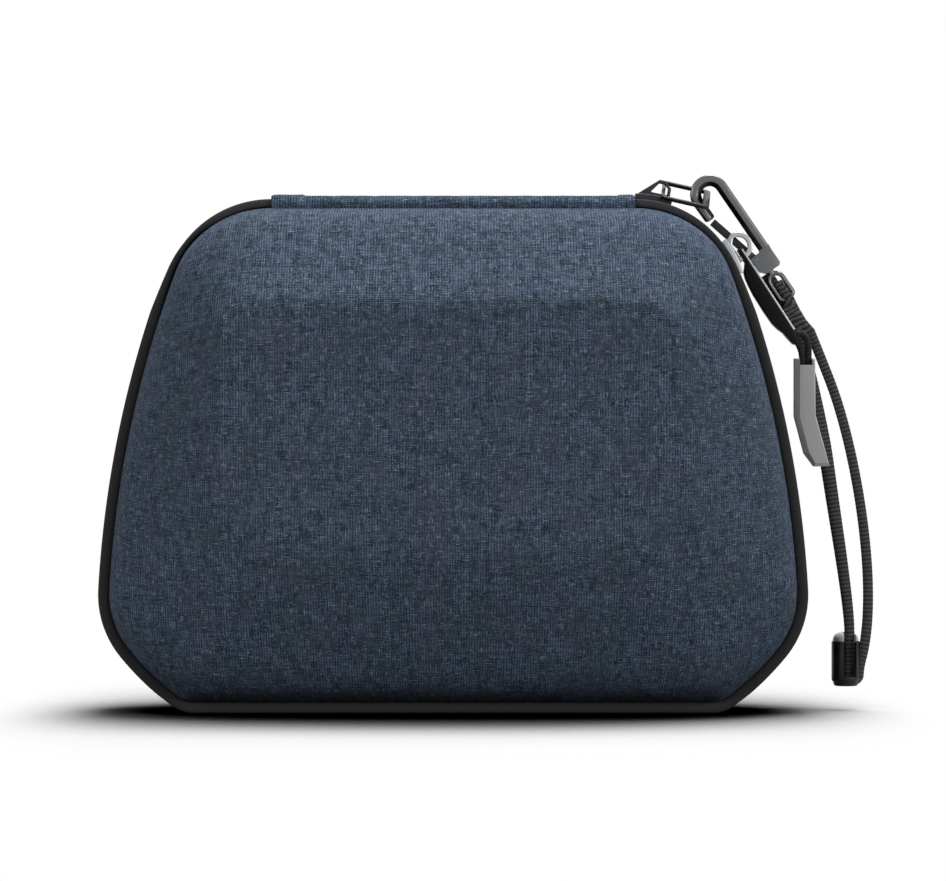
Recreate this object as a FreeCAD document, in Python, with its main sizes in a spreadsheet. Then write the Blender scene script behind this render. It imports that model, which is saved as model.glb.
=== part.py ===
import FreeCAD, Part
import math
import os

# Hard carrying case for a game controller, standing on its zip edge.
# Millimetres, +Z up, +X to the right, the front half towards -Y.
# The origin is below the middle of the case, on the surface that it stands on.

doc = FreeCAD.newDocument("carrying_case")
V = FreeCAD.Vector
Rot = FreeCAD.Rotation

# Driving sizes. Angles are in degrees and the rest in millimetres.
SIZES = {
    # outline of the closed case, seen from the front
    "rim_top": 132.1,
    "top_corner_x": 46.5,
    "top_corner_radius": 28.6,
    "side_radius": 278.0,
    "side_start_angle": 20.5,
    "side_end_angle": 3.2,
    "low_corner_radius": 25.0,
    "low_corner_angle": 39.0,
    "heel_radius": 72.0,
    "foot_radius": 8.0,
    # depth of the halves and of the zip band between them
    "half_gap": 8.0,
    "half_depth": 39.0,
    "bead_height": 2.4,
    "bead_depth": 2.6,
    "bead_round": 0.9,
    # moulded shells
    "shell_wall": 3.4,
    "wall_depth": 12.0,
    "wall_draft": 2.6,
    "plateau_half_width": 57.3,
    "plateau_low": 43.4,
    "plateau_high": 103.7,
    "plateau_corner": 12.0,
    "edge_soft": 3.2,
    # zip tape and coil
    "tape_sink": 1.6,
    "tape_thickness": 0.8,
    "coil_sink": 0.9,
    "coil_height": 1.9,
    "coil_half_width": 1.7,
    "coil_gap": 0.1,
    "open_half_width": 1.1,
    # hinge strip
    "spine_end_gap": 0.1,
    "spine_thickness": 0.5,
    "spine_drop": 2.3,
    "spine_clearance": 0.1,
    # zip sliders
    "slider_half_angle": 9.5,
    "slider_half_width": 2.8,
    "slider_plate": 0.9,
    "slider_crown": 0.8,
    "slider_clearance": 0.2,
    "slider_slot": 1.3,
    "wedge_angle": 5.0,
    "wedge_half_width": 0.8,
    "upper_slider_angle": 80.0,
    "lower_slider_angle": 27.8,
    "bridge_half_width": 0.8,
    "bridge_rise": 4.3,
    "ring_rise": 5.4,
    # frame pull on the upper slider
    "pull_pitch": 12.6,
    "pull_roll": 20.0,
    "pull_pivot_rise": 1.9,
    "pull_pivot_along": 2.2,
    "pull_reach": 11.3,
    "pull_half_width": 7.2,
    "pull_bar": 0.9,
    "pull_end_bar": 1.7,
    "pull_thickness": 1.0,
    # snap hook
    "hook_plane_y": 4.3,
    "hook_tilt": 55.5,
    "hook_thickness": 2.4,
    "hook_outer_radius": 5.15,
    "hook_curl_p": 0.4,
    "hook_curl_q": 0.65,
    "hook_wire": 3.0,
    "hook_nose": 6.0,
    "hook_length": 25.6,
    "hook_base": 4.6,
    "hook_axis_q": 2.3,
    "gate_width": 1.9,
    "gate_clearance": 0.25,
    "gate_pin_radius": 0.6,
    # swivel eye
    "eye_half_width": 2.5,
    "eye_length": 8.4,
    "eye_wire": 1.1,
    "eye_thickness": 1.8,
    "swivel_post_radius": 0.9,
    "swivel_clearance": 0.08,
    # wrist strap
    "strap_width": 2.0,
    "strap_thickness": 1.6,
    "wrap_thickness": 2.8,
    # strap stopper
    "stopper_x": 101.4,
    "stopper_foot": 6.2,
    "stopper_height": 11.6,
    "stopper_radius": 3.7,
    "button_radius": 1.75,
    "button_rise": 0.9,
    "button_cap": 1.9,
    "button_stem_radius": 1.0,
    "button_stem": 5.0,
    "button_clearance": 0.08,
    # pull tab on the lower slider
    "tab_tilt": 57.0,
    "tab_length": 28.2,
    "tab_half_width": 2.6,
    "tab_thickness": 3.1,
    "tab_pin_radius": 0.65,
    "tab_eye_radius": 0.95,
    "cord_radius": 0.75,
    "grip_half_width": 2.6,
    # inside
    "band_width": 30.0,
    "band_thickness": 1.4,
    "pocket_height": 62.0,
    "net_thickness": 0.8,
    "hem_size": 3.0,
}

sheet = doc.addObject("Spreadsheet::Sheet", "sizes")
for row, (alias, value) in enumerate(SIZES.items(), start=1):
    sheet.set(f"A{row}", alias)
    sheet.set(f"B{row}", str(value))
    sheet.setAlias(f"B{row}", alias)
doc.recompute()


def size(alias):
    """The value of one driving size."""
    return float(getattr(sheet, alias))


def polar(centre, radius, degrees):
    """A point at an angle about a centre, in the plane of the outline."""
    turn = math.radians(degrees)
    return V(centre.x + radius * math.cos(turn), centre.y + radius * math.sin(turn), 0)


def arc(centre, radius, start, end):
    """An arc of the outline plane, from one angle to another, counter-clockwise."""
    circle = Part.Circle(centre, V(0, 0, 1), radius)
    return Part.ArcOfCircle(circle, math.radians(start), math.radians(end))


def line(a, b):
    return Part.LineSegment(a, b)


def closed(points):
    """The sides of a polygon."""
    return [line(a, b) for a, b in zip(points, points[1:] + points[:1])]


# Outline of the rim: arcs that run into one another, right side, from the top down.
# Each row is centre, radius, first angle and last angle.
corner = V(size("top_corner_x"), size("rim_top") - size("top_corner_radius"), 0)
side_top = polar(corner, size("top_corner_radius"), size("side_start_angle"))
side = polar(side_top, -size("side_radius"), size("side_start_angle"))
side_low = polar(side, size("side_radius"), size("side_end_angle"))
low = polar(side_low, -size("low_corner_radius"), size("side_end_angle"))
heel_top = polar(low, size("low_corner_radius"), -size("low_corner_angle"))
heel = polar(heel_top, -size("heel_radius"), -size("low_corner_angle"))
foot_gap = size("heel_radius") - size("foot_radius")
foot_drop = heel.y - size("foot_radius")
foot = V(heel.x + math.sqrt(foot_gap**2 - foot_drop**2), size("foot_radius"), 0)
foot_angle = math.degrees(math.asin(foot_drop / foot_gap))
RIM = [
    (corner, size("top_corner_radius"), 90.0, size("side_start_angle")),
    (side, size("side_radius"), size("side_start_angle"), size("side_end_angle")),
    (low, size("low_corner_radius"), size("side_end_angle"), -size("low_corner_angle")),
    (heel, size("heel_radius"), -size("low_corner_angle"), -foot_angle),
    (foot, size("foot_radius"), -foot_angle, -90.0),
]


def rim_edges(inset, from_x=0.0):
    """The outline moved in by inset. Above from_x on the top side it is left open."""
    right = []
    for centre, radius, high_angle, low_angle in RIM:
        right.append(arc(centre, radius - inset, low_angle, high_angle))
    left = []
    for centre, radius, high_angle, low_angle in RIM:
        mirrored = V(-centre.x, centre.y, 0)
        left.append(arc(mirrored, radius - inset, 180 - high_angle, 180 - low_angle))
    top = size("rim_top") - inset
    base = line(V(-foot.x, inset, 0), V(foot.x, inset, 0))
    if not from_x:
        return right + left + [base, line(V(corner.x, top, 0), V(-corner.x, top, 0))]
    ends = [line(V(corner.x, top, 0), V(from_x, top, 0))] if from_x < corner.x else []
    if ends:
        ends.append(line(V(-corner.x, top, 0), V(-from_x, top, 0)))
    return right + left + [base] + ends


def band_edges(outer, inner, half_opening):
    """A band along the rim between two insets, closed at both ends of the hinge strip."""
    edges = rim_edges(outer, half_opening) + rim_edges(inner, half_opening)
    top = size("rim_top")
    for x in (half_opening, -half_opening):
        edges.append(line(V(x, top - outer, 0), V(x, top - inner, 0)))
    return edges


def sector_edges(centre, inner, outer, start, end):
    """A piece of a ring about a centre."""
    return [
        arc(centre, outer, start, end),
        arc(centre, inner, start, end),
        line(polar(centre, inner, start), polar(centre, outer, start)),
        line(polar(centre, inner, end), polar(centre, outer, end)),
    ]


parts = []


def new_body(name):
    body = doc.addObject("PartDesign::Body", name)
    body.Label = name
    parts.append(body)
    return body


def plane(body, role):
    """One of a body's own origin planes."""
    return next(f for f in body.Origin.OriginFeatures if f.Role == role)


def sketch_on(body, edges, offset="0", role="XZ_Plane"):
    """A sketch on an origin plane, moved along the plane's normal by an expression."""
    sketch = body.newObject("Sketcher::SketchObject", body.Name + "_sketch")
    sketch.AttachmentSupport = [(plane(body, role), "")]
    sketch.MapMode = "FlatFace"
    sketch.setExpression("AttachmentOffset.Base.z", offset)
    sketch.addGeometry(edges, False)
    return sketch


def pad(body, edges, length, offset="0", role="XZ_Plane", middle=False):
    """A pad whose length is an expression. On the XZ plane it grows towards -Y."""
    feature = body.newObject("PartDesign::Pad", body.Name + "_pad")
    feature.Profile = sketch_on(body, edges, offset, role)
    feature.setExpression("Length", length)
    feature.SideType = "Symmetric" if middle else "One side"
    body.Tip = feature
    doc.recompute()
    return feature


def pocket(body, edges, length, offset="0", role="XZ_Plane", middle=False):
    """A pocket that has to take something away. On the XZ plane it cuts towards +Y."""
    before = body.Shape.Volume
    feature = body.newObject("PartDesign::Pocket", body.Name + "_pocket")
    feature.Profile = sketch_on(body, edges, offset, role)
    feature.setExpression("Length", length)
    feature.SideType = "Symmetric" if middle else "One side"
    body.Tip = feature
    doc.recompute()
    if body.Shape.Volume >= before:
        raise ValueError(body.Name + " is not cut by its pocket")
    return feature


def round_edges(body, chosen, alias):
    """A fillet on the edges that a test picks."""
    base = body.Tip
    names = []
    for number, edge in enumerate(base.Shape.Edges, start=1):
        if chosen(edge):
            names.append(f"Edge{number}")
    feature = body.newObject("PartDesign::Fillet", body.Name + "_round")
    feature.Base = (base, names)
    feature.setExpression("Radius", "sizes." + alias)
    body.Tip = feature
    doc.recompute()
    return feature


def place(body, x, y, z, rotation):
    body.Placement = FreeCAD.Placement(V(x, y, z), rotation)


def solid_feature(name, shape, position=V(0, 0, 0), rotation=None):
    """A piece whose shape comes from lofts or sweeps along the rim."""
    feature = doc.addObject("Part::Feature", name)
    feature.Label = name
    feature.Shape = shape
    feature.Placement = FreeCAD.Placement(position, rotation or Rot())
    parts.append(feature)
    return feature


# Moulded shells: foam between cloth outside and lining inside, pressed in one piece.
# A steep wall rises from the rim, four facets slope up from it to a flat middle.
def rim_points(inset):
    """Start, middle and end of each side of the rim, in order, counter-clockwise."""
    rows = []
    for centre, radius, high_angle, low_angle in reversed(RIM):
        turns = (low_angle, (low_angle + high_angle) / 2, high_angle)
        rows.append([polar(centre, radius - inset, turn) for turn in turns])
    top = size("rim_top") - inset
    half = [V(corner.x, top, 0), V(0, top, 0), V(-corner.x, top, 0)]
    mirrored = [[V(-p.x, p.y, 0) for p in reversed(row)] for row in reversed(rows)]
    base = [V(-foot.x, inset, 0), V(0, inset, 0), V(foot.x, inset, 0)]
    return rows + [half] + mirrored + [base]


def plateau_points(inset):
    """The flat middle, with as many sides as the rim and its corners cut in the same way."""
    radius = size("plateau_corner") - inset
    half = size("plateau_half_width") - size("plateau_corner")
    high = V(half, size("plateau_high") - size("plateau_corner"), 0)
    lower = V(half, size("plateau_low") + size("plateau_corner"), 0)
    bulge = V(0.05, 0, 0)
    corners = [(lower, -90, -70), (lower, -70, -40), (lower, -40, 0)]
    rows = []
    for centre, first, last in corners:
        turns = (first, (first + last) / 2, last)
        rows.append([polar(centre, radius, turn) for turn in turns])
    a = polar(lower, radius, 0)
    b = polar(high, radius, 0)
    rows.append([a, (a + b) / 2 + bulge, b])
    rows.append([polar(high, radius, turn) for turn in (0, 45, 90)])
    top = high.y + radius
    flat = [V(half, top, 0), V(0, top, 0), V(-half, top, 0)]
    mirrored = [[V(-p.x, p.y, 0) for p in reversed(row)] for row in reversed(rows)]
    bottom = lower.y - radius
    base = [V(-half, bottom, 0), V(0, bottom, 0), V(half, bottom, 0)]
    return rows + [flat] + mirrored + [base]


def ring(share, inset, depth):
    """A closed section of the shell, a share of the way from the rim to the flat middle."""
    edges = []
    for rim_row, flat_row in zip(rim_points(inset), plateau_points(inset)):
        a, m, b = [p * (1 - share) + q * share for p, q in zip(rim_row, flat_row)]
        a, m, b = [V(p.x, depth, p.y) for p in (a, m, b)]
        straight = abs((m - a).cross(b - m).Length) < 1e-6
        curve = Part.LineSegment(a, b) if straight else Part.Arc(a, m, b)
        edges.append(curve.toShape())
    return Part.Wire(edges)


def shell_rings(inset, sink):
    """Sections from the rim to the flat middle, with soft edges at the wall and the flat."""
    draft = size("wall_draft")
    start = size("half_gap")
    knee = start + size("wall_depth") - sink
    end = size("half_depth") - sink
    soft = size("edge_soft")
    rise = end - knee
    side_run = side_low.x - size("plateau_half_width")
    lean = draft / side_run
    rows = [
        (0.0, start),
        (lean * 0.35, start + size("wall_depth") * 0.45),
        (lean, knee - soft * 0.5),
        (lean + 0.06, knee + rise * 0.08),
        (lean + 0.16, knee + rise * 0.24),
        (0.86, end - rise * 0.10),
        (0.94, end - rise * 0.025),
        (1.0, end),
    ]
    return [ring(share, inset, depth) for share, depth in rows]


def shell():
    """One moulded half, on the +Y side."""
    outside = size("bead_height")
    inside = outside + size("shell_wall")
    outer = Part.makeLoft(shell_rings(outside, 0.0), True, True)
    inner = Part.makeLoft(shell_rings(inside, size("shell_wall")), True, True)
    return outer.cut(inner)


half_shell = shell()
solid_feature("back_shell", half_shell)
solid_feature("front_shell", half_shell.mirror(V(0, 0, 0), V(0, 1, 0)))

# Bindings: round black piping sewn over the edge of each shell. The case stands on both.
for name, offset in (
    ("back_binding", "-sizes.half_gap - sizes.bead_depth"),
    ("front_binding", "sizes.half_gap"),
):
    binding = new_body(name)
    pad(binding, rim_edges(0.0) + rim_edges(size("bead_height")), "sizes.bead_depth", offset)

    def on_outline(edge):
        flat = edge.BoundBox.YLength < 1e-6
        middle = edge.valueAt((edge.FirstParameter + edge.LastParameter) / 2)
        inner = size("bead_height") / 2
        if abs(middle.z) < inner or middle.z > size("rim_top") - inner:
            return flat
        for centre, radius, high_angle, low_angle in RIM:
            point = V(abs(middle.x), middle.z, 0)
            if abs((point - centre).Length - radius) < 1e-3:
                return flat
        return False

    round_edges(binding, on_outline, "bead_round")

# Zip: two woven tapes on the piping and a nylon coil on the edge of each.
# The rows part between the two sliders.
tape_outer = size("tape_sink")
tape_inner = tape_outer + size("tape_thickness")
coil_outer = size("coil_sink")
coil_inner = coil_outer + size("coil_height")
open_from = size("lower_slider_angle") + size("slider_half_angle") - size("wedge_angle")
open_to = size("upper_slider_angle") - size("slider_half_angle") + size("wedge_angle")
for name, forward in (("back", False), ("front", True)):
    tape = new_body(name + "_zipper_tape")
    offset = "sizes.coil_half_width" if forward else "-sizes.half_gap"
    half = size("top_corner_x") - size("spine_end_gap")
    pad(
        tape,
        band_edges(tape_outer, tape_inner, half),
        "sizes.half_gap - sizes.coil_half_width",
        offset,
    )
    coil = new_body(name + "_zipper_coil")
    offset = "sizes.coil_gap" if forward else "-sizes.coil_half_width"
    pad(
        coil,
        band_edges(coil_outer, coil_inner, half),
        "sizes.coil_half_width - sizes.coil_gap",
        offset,
    )
    gap = sector_edges(
        corner,
        size("top_corner_radius") - coil_inner - 1,
        size("top_corner_radius") - coil_outer + 1,
        open_from - size("wedge_angle") / 2,
        open_to + size("wedge_angle") / 2,
    )
    pocket(coil, gap, "2 * sizes.open_half_width", middle=True)

# Hinge strip: the cloth of the shells, folded over both bindings along the top.
strip_inner = size("half_gap") + size("bead_depth") + size("spine_clearance")
strip_outer = strip_inner + size("spine_thickness")
strip_low = size("rim_top") - size("spine_drop")
strip_under = size("rim_top") + size("spine_clearance")
strip_top = strip_under + size("spine_thickness")
strip = new_body("spine_strip")
strip_profile = closed(
    [
        V(-strip_outer, strip_low, 0),
        V(-strip_outer, strip_top, 0),
        V(strip_outer, strip_top, 0),
        V(strip_outer, strip_low, 0),
        V(strip_inner, strip_low, 0),
        V(strip_inner, strip_under, 0),
        V(-strip_inner, strip_under, 0),
        V(-strip_inner, strip_low, 0),
    ]
)
strip_length = "2 * (sizes.top_corner_x - sizes.spine_end_gap)"
pad(strip, strip_profile, strip_length, role="YZ_Plane", middle=True)

# Zip sliders: cast in one with their wedge between the rows, two plates and side flanges.
rim_radius = size("top_corner_radius")
channel_out = rim_radius - coil_outer + size("slider_clearance")
channel_in = rim_radius - coil_inner - size("slider_clearance")
plate_out = channel_out + size("slider_plate")
plate_in = channel_in - size("slider_plate")
crown_out = plate_out + size("slider_crown")
slot_middle = rim_radius - (tape_outer + tape_inner) / 2
slot_out = slot_middle + size("slider_slot") / 2
slot_in = slot_middle - size("slider_slot") / 2


def slider(name, middle, nose):
    """A slider on the corner of the rim. nose is +1 if it leads with its upper end."""
    half = size("slider_half_angle")
    body = new_body(name + "_slider_body")
    whole = (middle - half, middle + half)
    pad(
        body,
        sector_edges(corner, plate_in, crown_out, *whole),
        "2 * sizes.slider_half_width",
        middle=True,
    )
    end = middle + nose * half
    back = end - nose * size("wedge_angle")
    tail = middle - nose * (half + 2)
    pocket(
        body,
        sector_edges(corner, channel_in, channel_out, *sorted((back, tail))),
        "2 * sizes.coil_half_width + 2 * sizes.slider_clearance",
        middle=True,
    )
    pocket(
        body,
        sector_edges(corner, slot_in, slot_out, *sorted((back, tail))),
        "4 * sizes.slider_half_width",
        middle=True,
    )
    beyond = end + nose * 2
    front = sector_edges(corner, channel_in, channel_out, *sorted((back, beyond)))
    side_cut = "sizes.slider_half_width"
    pocket(body, front, side_cut, "-sizes.wedge_half_width")
    pocket(body, front, side_cut, "sizes.slider_half_width + sizes.wedge_half_width")
    return body


slider("upper", size("upper_slider_angle"), -1)
slider("lower", size("lower_slider_angle"), 1)


def along_rim(middle, s, rise):
    """A point on a slider: s along the rim from its middle, rise above its plate."""
    radius = crown_out + rise
    return polar(corner, radius, middle - math.degrees(s / radius))


def rim_edge(middle, *places):
    """A side of a bow: a line through two places or an arc through three."""
    points = [along_rim(middle, s, rise) for s, rise in places]
    return line(*points) if len(points) == 2 else Part.Arc(*points)


def bridge(name, middle, outline, hole):
    """The bow that stands on a slider and holds its pull."""
    body = new_body(name + "_slider_bridge")
    edges = [rim_edge(middle, *places) for places in outline]
    first = middle - math.degrees(outline[0][0][0] / crown_out)
    last = middle - math.degrees(outline[-1][-1][0] / crown_out)
    edges.append(arc(corner, crown_out, last, first))
    pad(body, edges, "2 * sizes.bridge_half_width", middle=True)
    window = [rim_edge(middle, *places) for places in hole]
    pocket(body, window, "4 * sizes.bridge_half_width", middle=True)
    return body


top = size("bridge_rise")
peak_start, peak_end, leg = 0.8, 2.2, 4.1
bridge(
    "upper",
    size("upper_slider_angle"),
    [
        [(-4.4, 0), (peak_start, top)],
        [(peak_start, top), (peak_end, top)],
        [(peak_end, top), (leg, top - 1.6)],
        [(leg, top - 1.6), (leg, 0)],
    ],
    [
        [(-1.0, 0.8), (peak_start, top - 1.0)],
        [(peak_start, top - 1.0), (peak_end, top - 1.0)],
        [(peak_end, top - 1.0), (leg - 0.85, top - 1.8)],
        [(leg - 0.85, top - 1.8), (leg - 0.85, 0.8)],
        [(leg - 0.85, 0.8), (-1.0, 0.8)],
    ],
)
ring_outer, ring_inner = 3.7, 2.4
ring_side = -1.7
ring_top = size("ring_rise")
ring_foot = ring_top - ring_outer
hole_left, hole_right = ring_side - ring_inner, ring_side + ring_inner
bridge(
    "lower",
    size("lower_slider_angle"),
    [
        [(ring_side - ring_outer + 0.9, 0), (ring_side - ring_outer, ring_foot)],
        [
            (ring_side - ring_outer, ring_foot),
            (ring_side, ring_top),
            (ring_side + ring_outer, ring_foot),
        ],
        [(ring_side + ring_outer, ring_foot), (ring_side + ring_outer + 0.4, 0)],
    ],
    [
        [(hole_left, ring_foot), (ring_side, ring_foot + ring_inner), (hole_right, ring_foot)],
        [(hole_right, ring_foot), (hole_right, 0.6)],
        [(hole_right, 0.6), (hole_left + 1.2, 0.6)],
        [(hole_left + 1.2, 0.6), (hole_left, ring_foot)],
    ],
)

# Frame pull: a stamped frame. One of its bars goes through the bow of the upper slider.
pivot = along_rim(
    size("upper_slider_angle"), size("pull_pivot_along"), size("pull_pivot_rise")
)
pull_turn = Rot(V(0, 1, 0), size("pull_pitch")) * Rot(V(1, 0, 0), size("pull_roll"))
reach = size("pull_reach")
wide = size("pull_half_width")
end_bar = size("pull_end_bar")
bar = size("pull_bar")
end = reach + end_bar / 2
start = -bar / 2
cut = 0.8
pull = new_body("upper_pull")
half_outline = [V(start, wide - cut, 0), V(start + cut, wide, 0)]
half_outline += [V(end - cut, wide, 0), V(end, wide - cut, 0)]
other_half = [V(p.x, -p.y, 0) for p in reversed(half_outline)]
pad(
    pull,
    closed(half_outline + other_half),
    "sizes.pull_thickness",
    role="XY_Plane",
    middle=True,
)
window = [V(start + bar, wide - bar, 0), V(reach - end_bar / 2, wide - bar, 0)]
window += [V(p.x, -p.y, 0) for p in reversed(window)]
pocket(pull, closed(window), "4 * sizes.pull_thickness", role="XY_Plane", middle=True)
place(pull, pivot.x, 0, pivot.y, pull_turn)

# Snap hook: die-cast body that swings on the end bar of the frame pull.
# Its own x runs down the hook and its own z across it, towards the outer bar.
hook_y = size("hook_plane_y")
along_bar = hook_y / math.cos(math.radians(size("pull_roll")))
hook_at = pull.Placement.multVec(V(reach, along_bar, 0))
hook_turn = Rot(V(0, 1, 0), size("hook_tilt"))
outer = size("hook_outer_radius")
inner = outer - size("hook_wire")
curl = V(size("hook_curl_p"), size("hook_curl_q"), 0)
bar_out, bar_in = curl.y + outer, curl.y + inner
nose_out, nose_in = curl.y - outer, curl.y - inner
nose = size("hook_nose")
axis_q = size("hook_axis_q")
long = size("hook_length")
base = long - size("hook_base")
base_low = axis_q - 2.6
base_high = bar_out - 0.1
shoulder = 1.4
bevel_out = 0.6
zero = V(0, 0, 0)
hook = new_body("hook_body")
hook_edges = [
    arc(curl, outer, 90, 270),
    arc(curl, inner, 90, 270),
    line(V(curl.x, nose_out, 0), V(nose, nose_out + 0.6, 0)),
    line(V(nose, nose_out + 0.6, 0), V(nose, nose_in - 0.3, 0)),
    line(V(nose, nose_in - 0.3, 0), V(curl.x, nose_in, 0)),
    line(V(curl.x, bar_in, 0), V(base - 1.0, bar_in, 0)),
    line(V(base - 1.0, bar_in, 0), V(base - 1.0, base_low, 0)),
    line(V(base - 1.0, base_low, 0), V(long - shoulder, base_low, 0)),
    line(V(long - shoulder, base_low, 0), V(long, base_low + shoulder, 0)),
    line(V(long, base_low + shoulder, 0), V(long, base_high - bevel_out, 0)),
    line(V(long, base_high - bevel_out, 0), V(long - bevel_out, base_high, 0)),
    line(V(long - bevel_out, base_high, 0), V(base, base_high, 0)),
    line(V(base, base_high, 0), V(base - 0.8, bar_out, 0)),
    line(V(base - 0.8, bar_out, 0), V(curl.x, bar_out, 0)),
]
pad(hook, hook_edges, "sizes.hook_thickness", middle=True)
pin_p = base
pin_q = base_low + 1.1
gate_half = size("gate_width") / 2
knuckle = gate_half + size("gate_clearance")
gate_slot = "sizes.hook_thickness - 1.1"
knuckle_room = [
    V(base - 2, base_low - 1, 0),
    V(pin_p + knuckle, base_low - 1, 0),
    V(pin_p + knuckle, pin_q + knuckle, 0),
    V(base - 2, bar_in + 0.4, 0),
]
pocket(hook, closed(knuckle_room), gate_slot, middle=True)
pin_circle = [Part.Circle(V(pin_p, pin_q, 0), V(0, 0, 1), size("gate_pin_radius"))]
pocket(hook, pin_circle, "4 * sizes.hook_thickness", middle=True)
post = size("swivel_post_radius")
post_room = post + size("swivel_clearance")
head_long = 1.0
head_p = long - 2.3
swivel_bore = [
    V(head_p - head_long - 0.1, axis_q - post_room, 0),
    V(long + 1, axis_q - post_room, 0),
    V(long + 1, axis_q + post_room, 0),
    V(head_p - head_long - 0.1, axis_q + post_room, 0),
]
pocket(hook, closed(swivel_bore), "2 * sizes.swivel_post_radius + 0.2", middle=True)
place(hook, hook_at.x, hook_at.y, hook_at.z, hook_turn)

# Gate: a slanted bar that turns on its pin and closes against the nose from inside.
gate = new_body("hook_gate")
tip_swing = 0.4
tip_p = nose + size("gate_clearance") + tip_swing
tip_q = (nose_out + 0.6 + nose_in - 0.3) / 2
lean = math.atan2(pin_q - tip_q, pin_p - tip_p)
side_x = -math.sin(lean) * gate_half
side_y = math.cos(lean) * gate_half
gate_edges = [
    line(V(tip_p + side_x, tip_q + side_y, 0), V(tip_p - side_x, tip_q - side_y, 0)),
    line(V(tip_p - side_x, tip_q - side_y, 0), V(pin_p - side_x, pin_q - side_y, 0)),
    arc(V(pin_p, pin_q, 0), gate_half, math.degrees(lean) - 90, math.degrees(lean) + 90),
    line(V(pin_p + side_x, pin_q + side_y, 0), V(tip_p + side_x, tip_q + side_y, 0)),
]
gate_clear = size("gate_pin_radius") + 0.05
pad(gate, gate_edges, "sizes.hook_thickness - 1.3", middle=True)
bar_back = base - 2.4
bar_share = (bar_back - tip_p) / (pin_p - tip_p)
bar_q = tip_q + bar_share * (pin_q - tip_q)
gate_bar = closed(
    [
        V(tip_p + side_x, tip_q + side_y, 0),
        V(tip_p - side_x, tip_q - side_y, 0),
        V(bar_back - side_x, bar_q - side_y, 0),
        V(bar_back + side_x, bar_q + side_y, 0),
    ]
)
pad(gate, gate_bar, "sizes.hook_thickness - 0.2", middle=True)
gate_hole = [Part.Circle(V(pin_p, pin_q, 0), V(0, 0, 1), gate_clear)]
pocket(gate, gate_hole, "4 * sizes.hook_thickness", middle=True)
place(gate, hook_at.x, hook_at.y, hook_at.z, hook_turn)

gate_pin = new_body("gate_pin")
pad(gate_pin, pin_circle, "sizes.hook_thickness", middle=True)
place(gate_pin, hook_at.x, hook_at.y, hook_at.z, hook_turn)

# Swivel eye: a flat ring on a headed post that turns in the foot of the hook.
eye = new_body("swivel_eye")
eye_start = long + 0.35
eye_end = eye_start + size("eye_length")
eye_half = size("eye_half_width")
eye_wire = size("eye_wire")
eye_round = eye_start + eye_half
eye_hole = eye_half - eye_wire
ring_outside = [
    arc(V(eye_round, axis_q, 0), eye_half, 90, 270),
    line(V(eye_round, axis_q - eye_half, 0), V(eye_end, axis_q - eye_half, 0)),
    line(V(eye_end, axis_q - eye_half, 0), V(eye_end, axis_q + eye_half, 0)),
    line(V(eye_end, axis_q + eye_half, 0), V(eye_round, axis_q + eye_half, 0)),
]
pad(eye, ring_outside, "sizes.eye_thickness", middle=True)
hole_end = eye_end - eye_wire
ring_inside = [
    arc(V(eye_round, axis_q, 0), eye_hole, 90, 270),
    line(V(eye_round, axis_q - eye_hole, 0), V(hole_end, axis_q - eye_hole, 0)),
    line(V(hole_end, axis_q - eye_hole, 0), V(hole_end, axis_q + eye_hole, 0)),
    line(V(hole_end, axis_q + eye_hole, 0), V(eye_round, axis_q + eye_hole, 0)),
]
pocket(eye, ring_inside, "4 * sizes.eye_thickness", middle=True)
post_profile = [
    V(head_p - head_long, axis_q, 0),
    V(head_p - head_long, axis_q + post, 0),
    V(eye_start + 0.4, axis_q + post, 0),
    V(eye_start + 0.4, axis_q, 0),
]
stem = eye.newObject("PartDesign::Revolution", "swivel_eye_post")
stem.Profile = sketch_on(eye, closed(post_profile))
axis_line = eye.newObject("PartDesign::Line", "swivel_eye_axis")
axis_line.MapMode = "Deactivated"
axis_line.Placement = FreeCAD.Placement(V(0, 0, axis_q), Rot(V(0, 1, 0), 90))
stem.ReferenceAxis = (axis_line, [""])
stem.Angle = 360
eye.Tip = stem
doc.recompute()
place(eye, hook_at.x, hook_at.y, hook_at.z, hook_turn)


def on_hook(p, q):
    """A point of the hook's own plane, in the plane of the front view."""
    point = hook.Placement.multVec(V(p, 0, q))
    return V(point.x, point.z, 0)


# Wrist strap: flat webbing, a loop sewn together where it goes through the swivel eye.
STRAP_DOWN = [
    (89.7, 96.6), (92.6, 84.1), (95.7, 69.5), (98.0, 53.9), (100.5, 37.7),
    (102.3, 23.6), (102.4, 16.0), (102.2, 11.0), (102.2, 7.7),
]
STRAP_UP = [
    (104.8, 7.7), (104.9, 11.0), (106.2, 16.0), (107.2, 24.6), (107.1, 36.7),
    (105.5, 51.9), (102.7, 67.0), (99.2, 80.1), (95.3, 90.2), (92.1, 98.0),
]


def rounded_path(points, depth):
    """Straight runs joined by tangent arcs, in a plane across the case, and its radii."""
    points = [V(x, depth, z) for x, z in points]
    edges = []
    radii = []
    at = points[0]
    for before, point, after in zip(points, points[1:], points[2:]):
        coming = (before - point)
        going = (after - point)
        shorter = min(coming.Length, going.Length)
        turn = math.pi - coming.getAngle(going)
        reach_back = 0.45 * shorter
        radii.append(reach_back / math.tan(turn / 2))
        start = point + coming.normalize() * reach_back
        finish = point + going.normalize() * reach_back
        bisector = (coming + going).normalize()
        to_centre = radii[-1] / math.cos(turn / 2)
        middle = point + bisector * (to_centre - radii[-1])
        edges.append(Part.LineSegment(at, start).toShape())
        edges.append(Part.Arc(start, middle, finish).toShape())
        at = finish
    edges.append(Part.LineSegment(at, points[-1]).toShape())
    return Part.Wire(edges), radii


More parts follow.
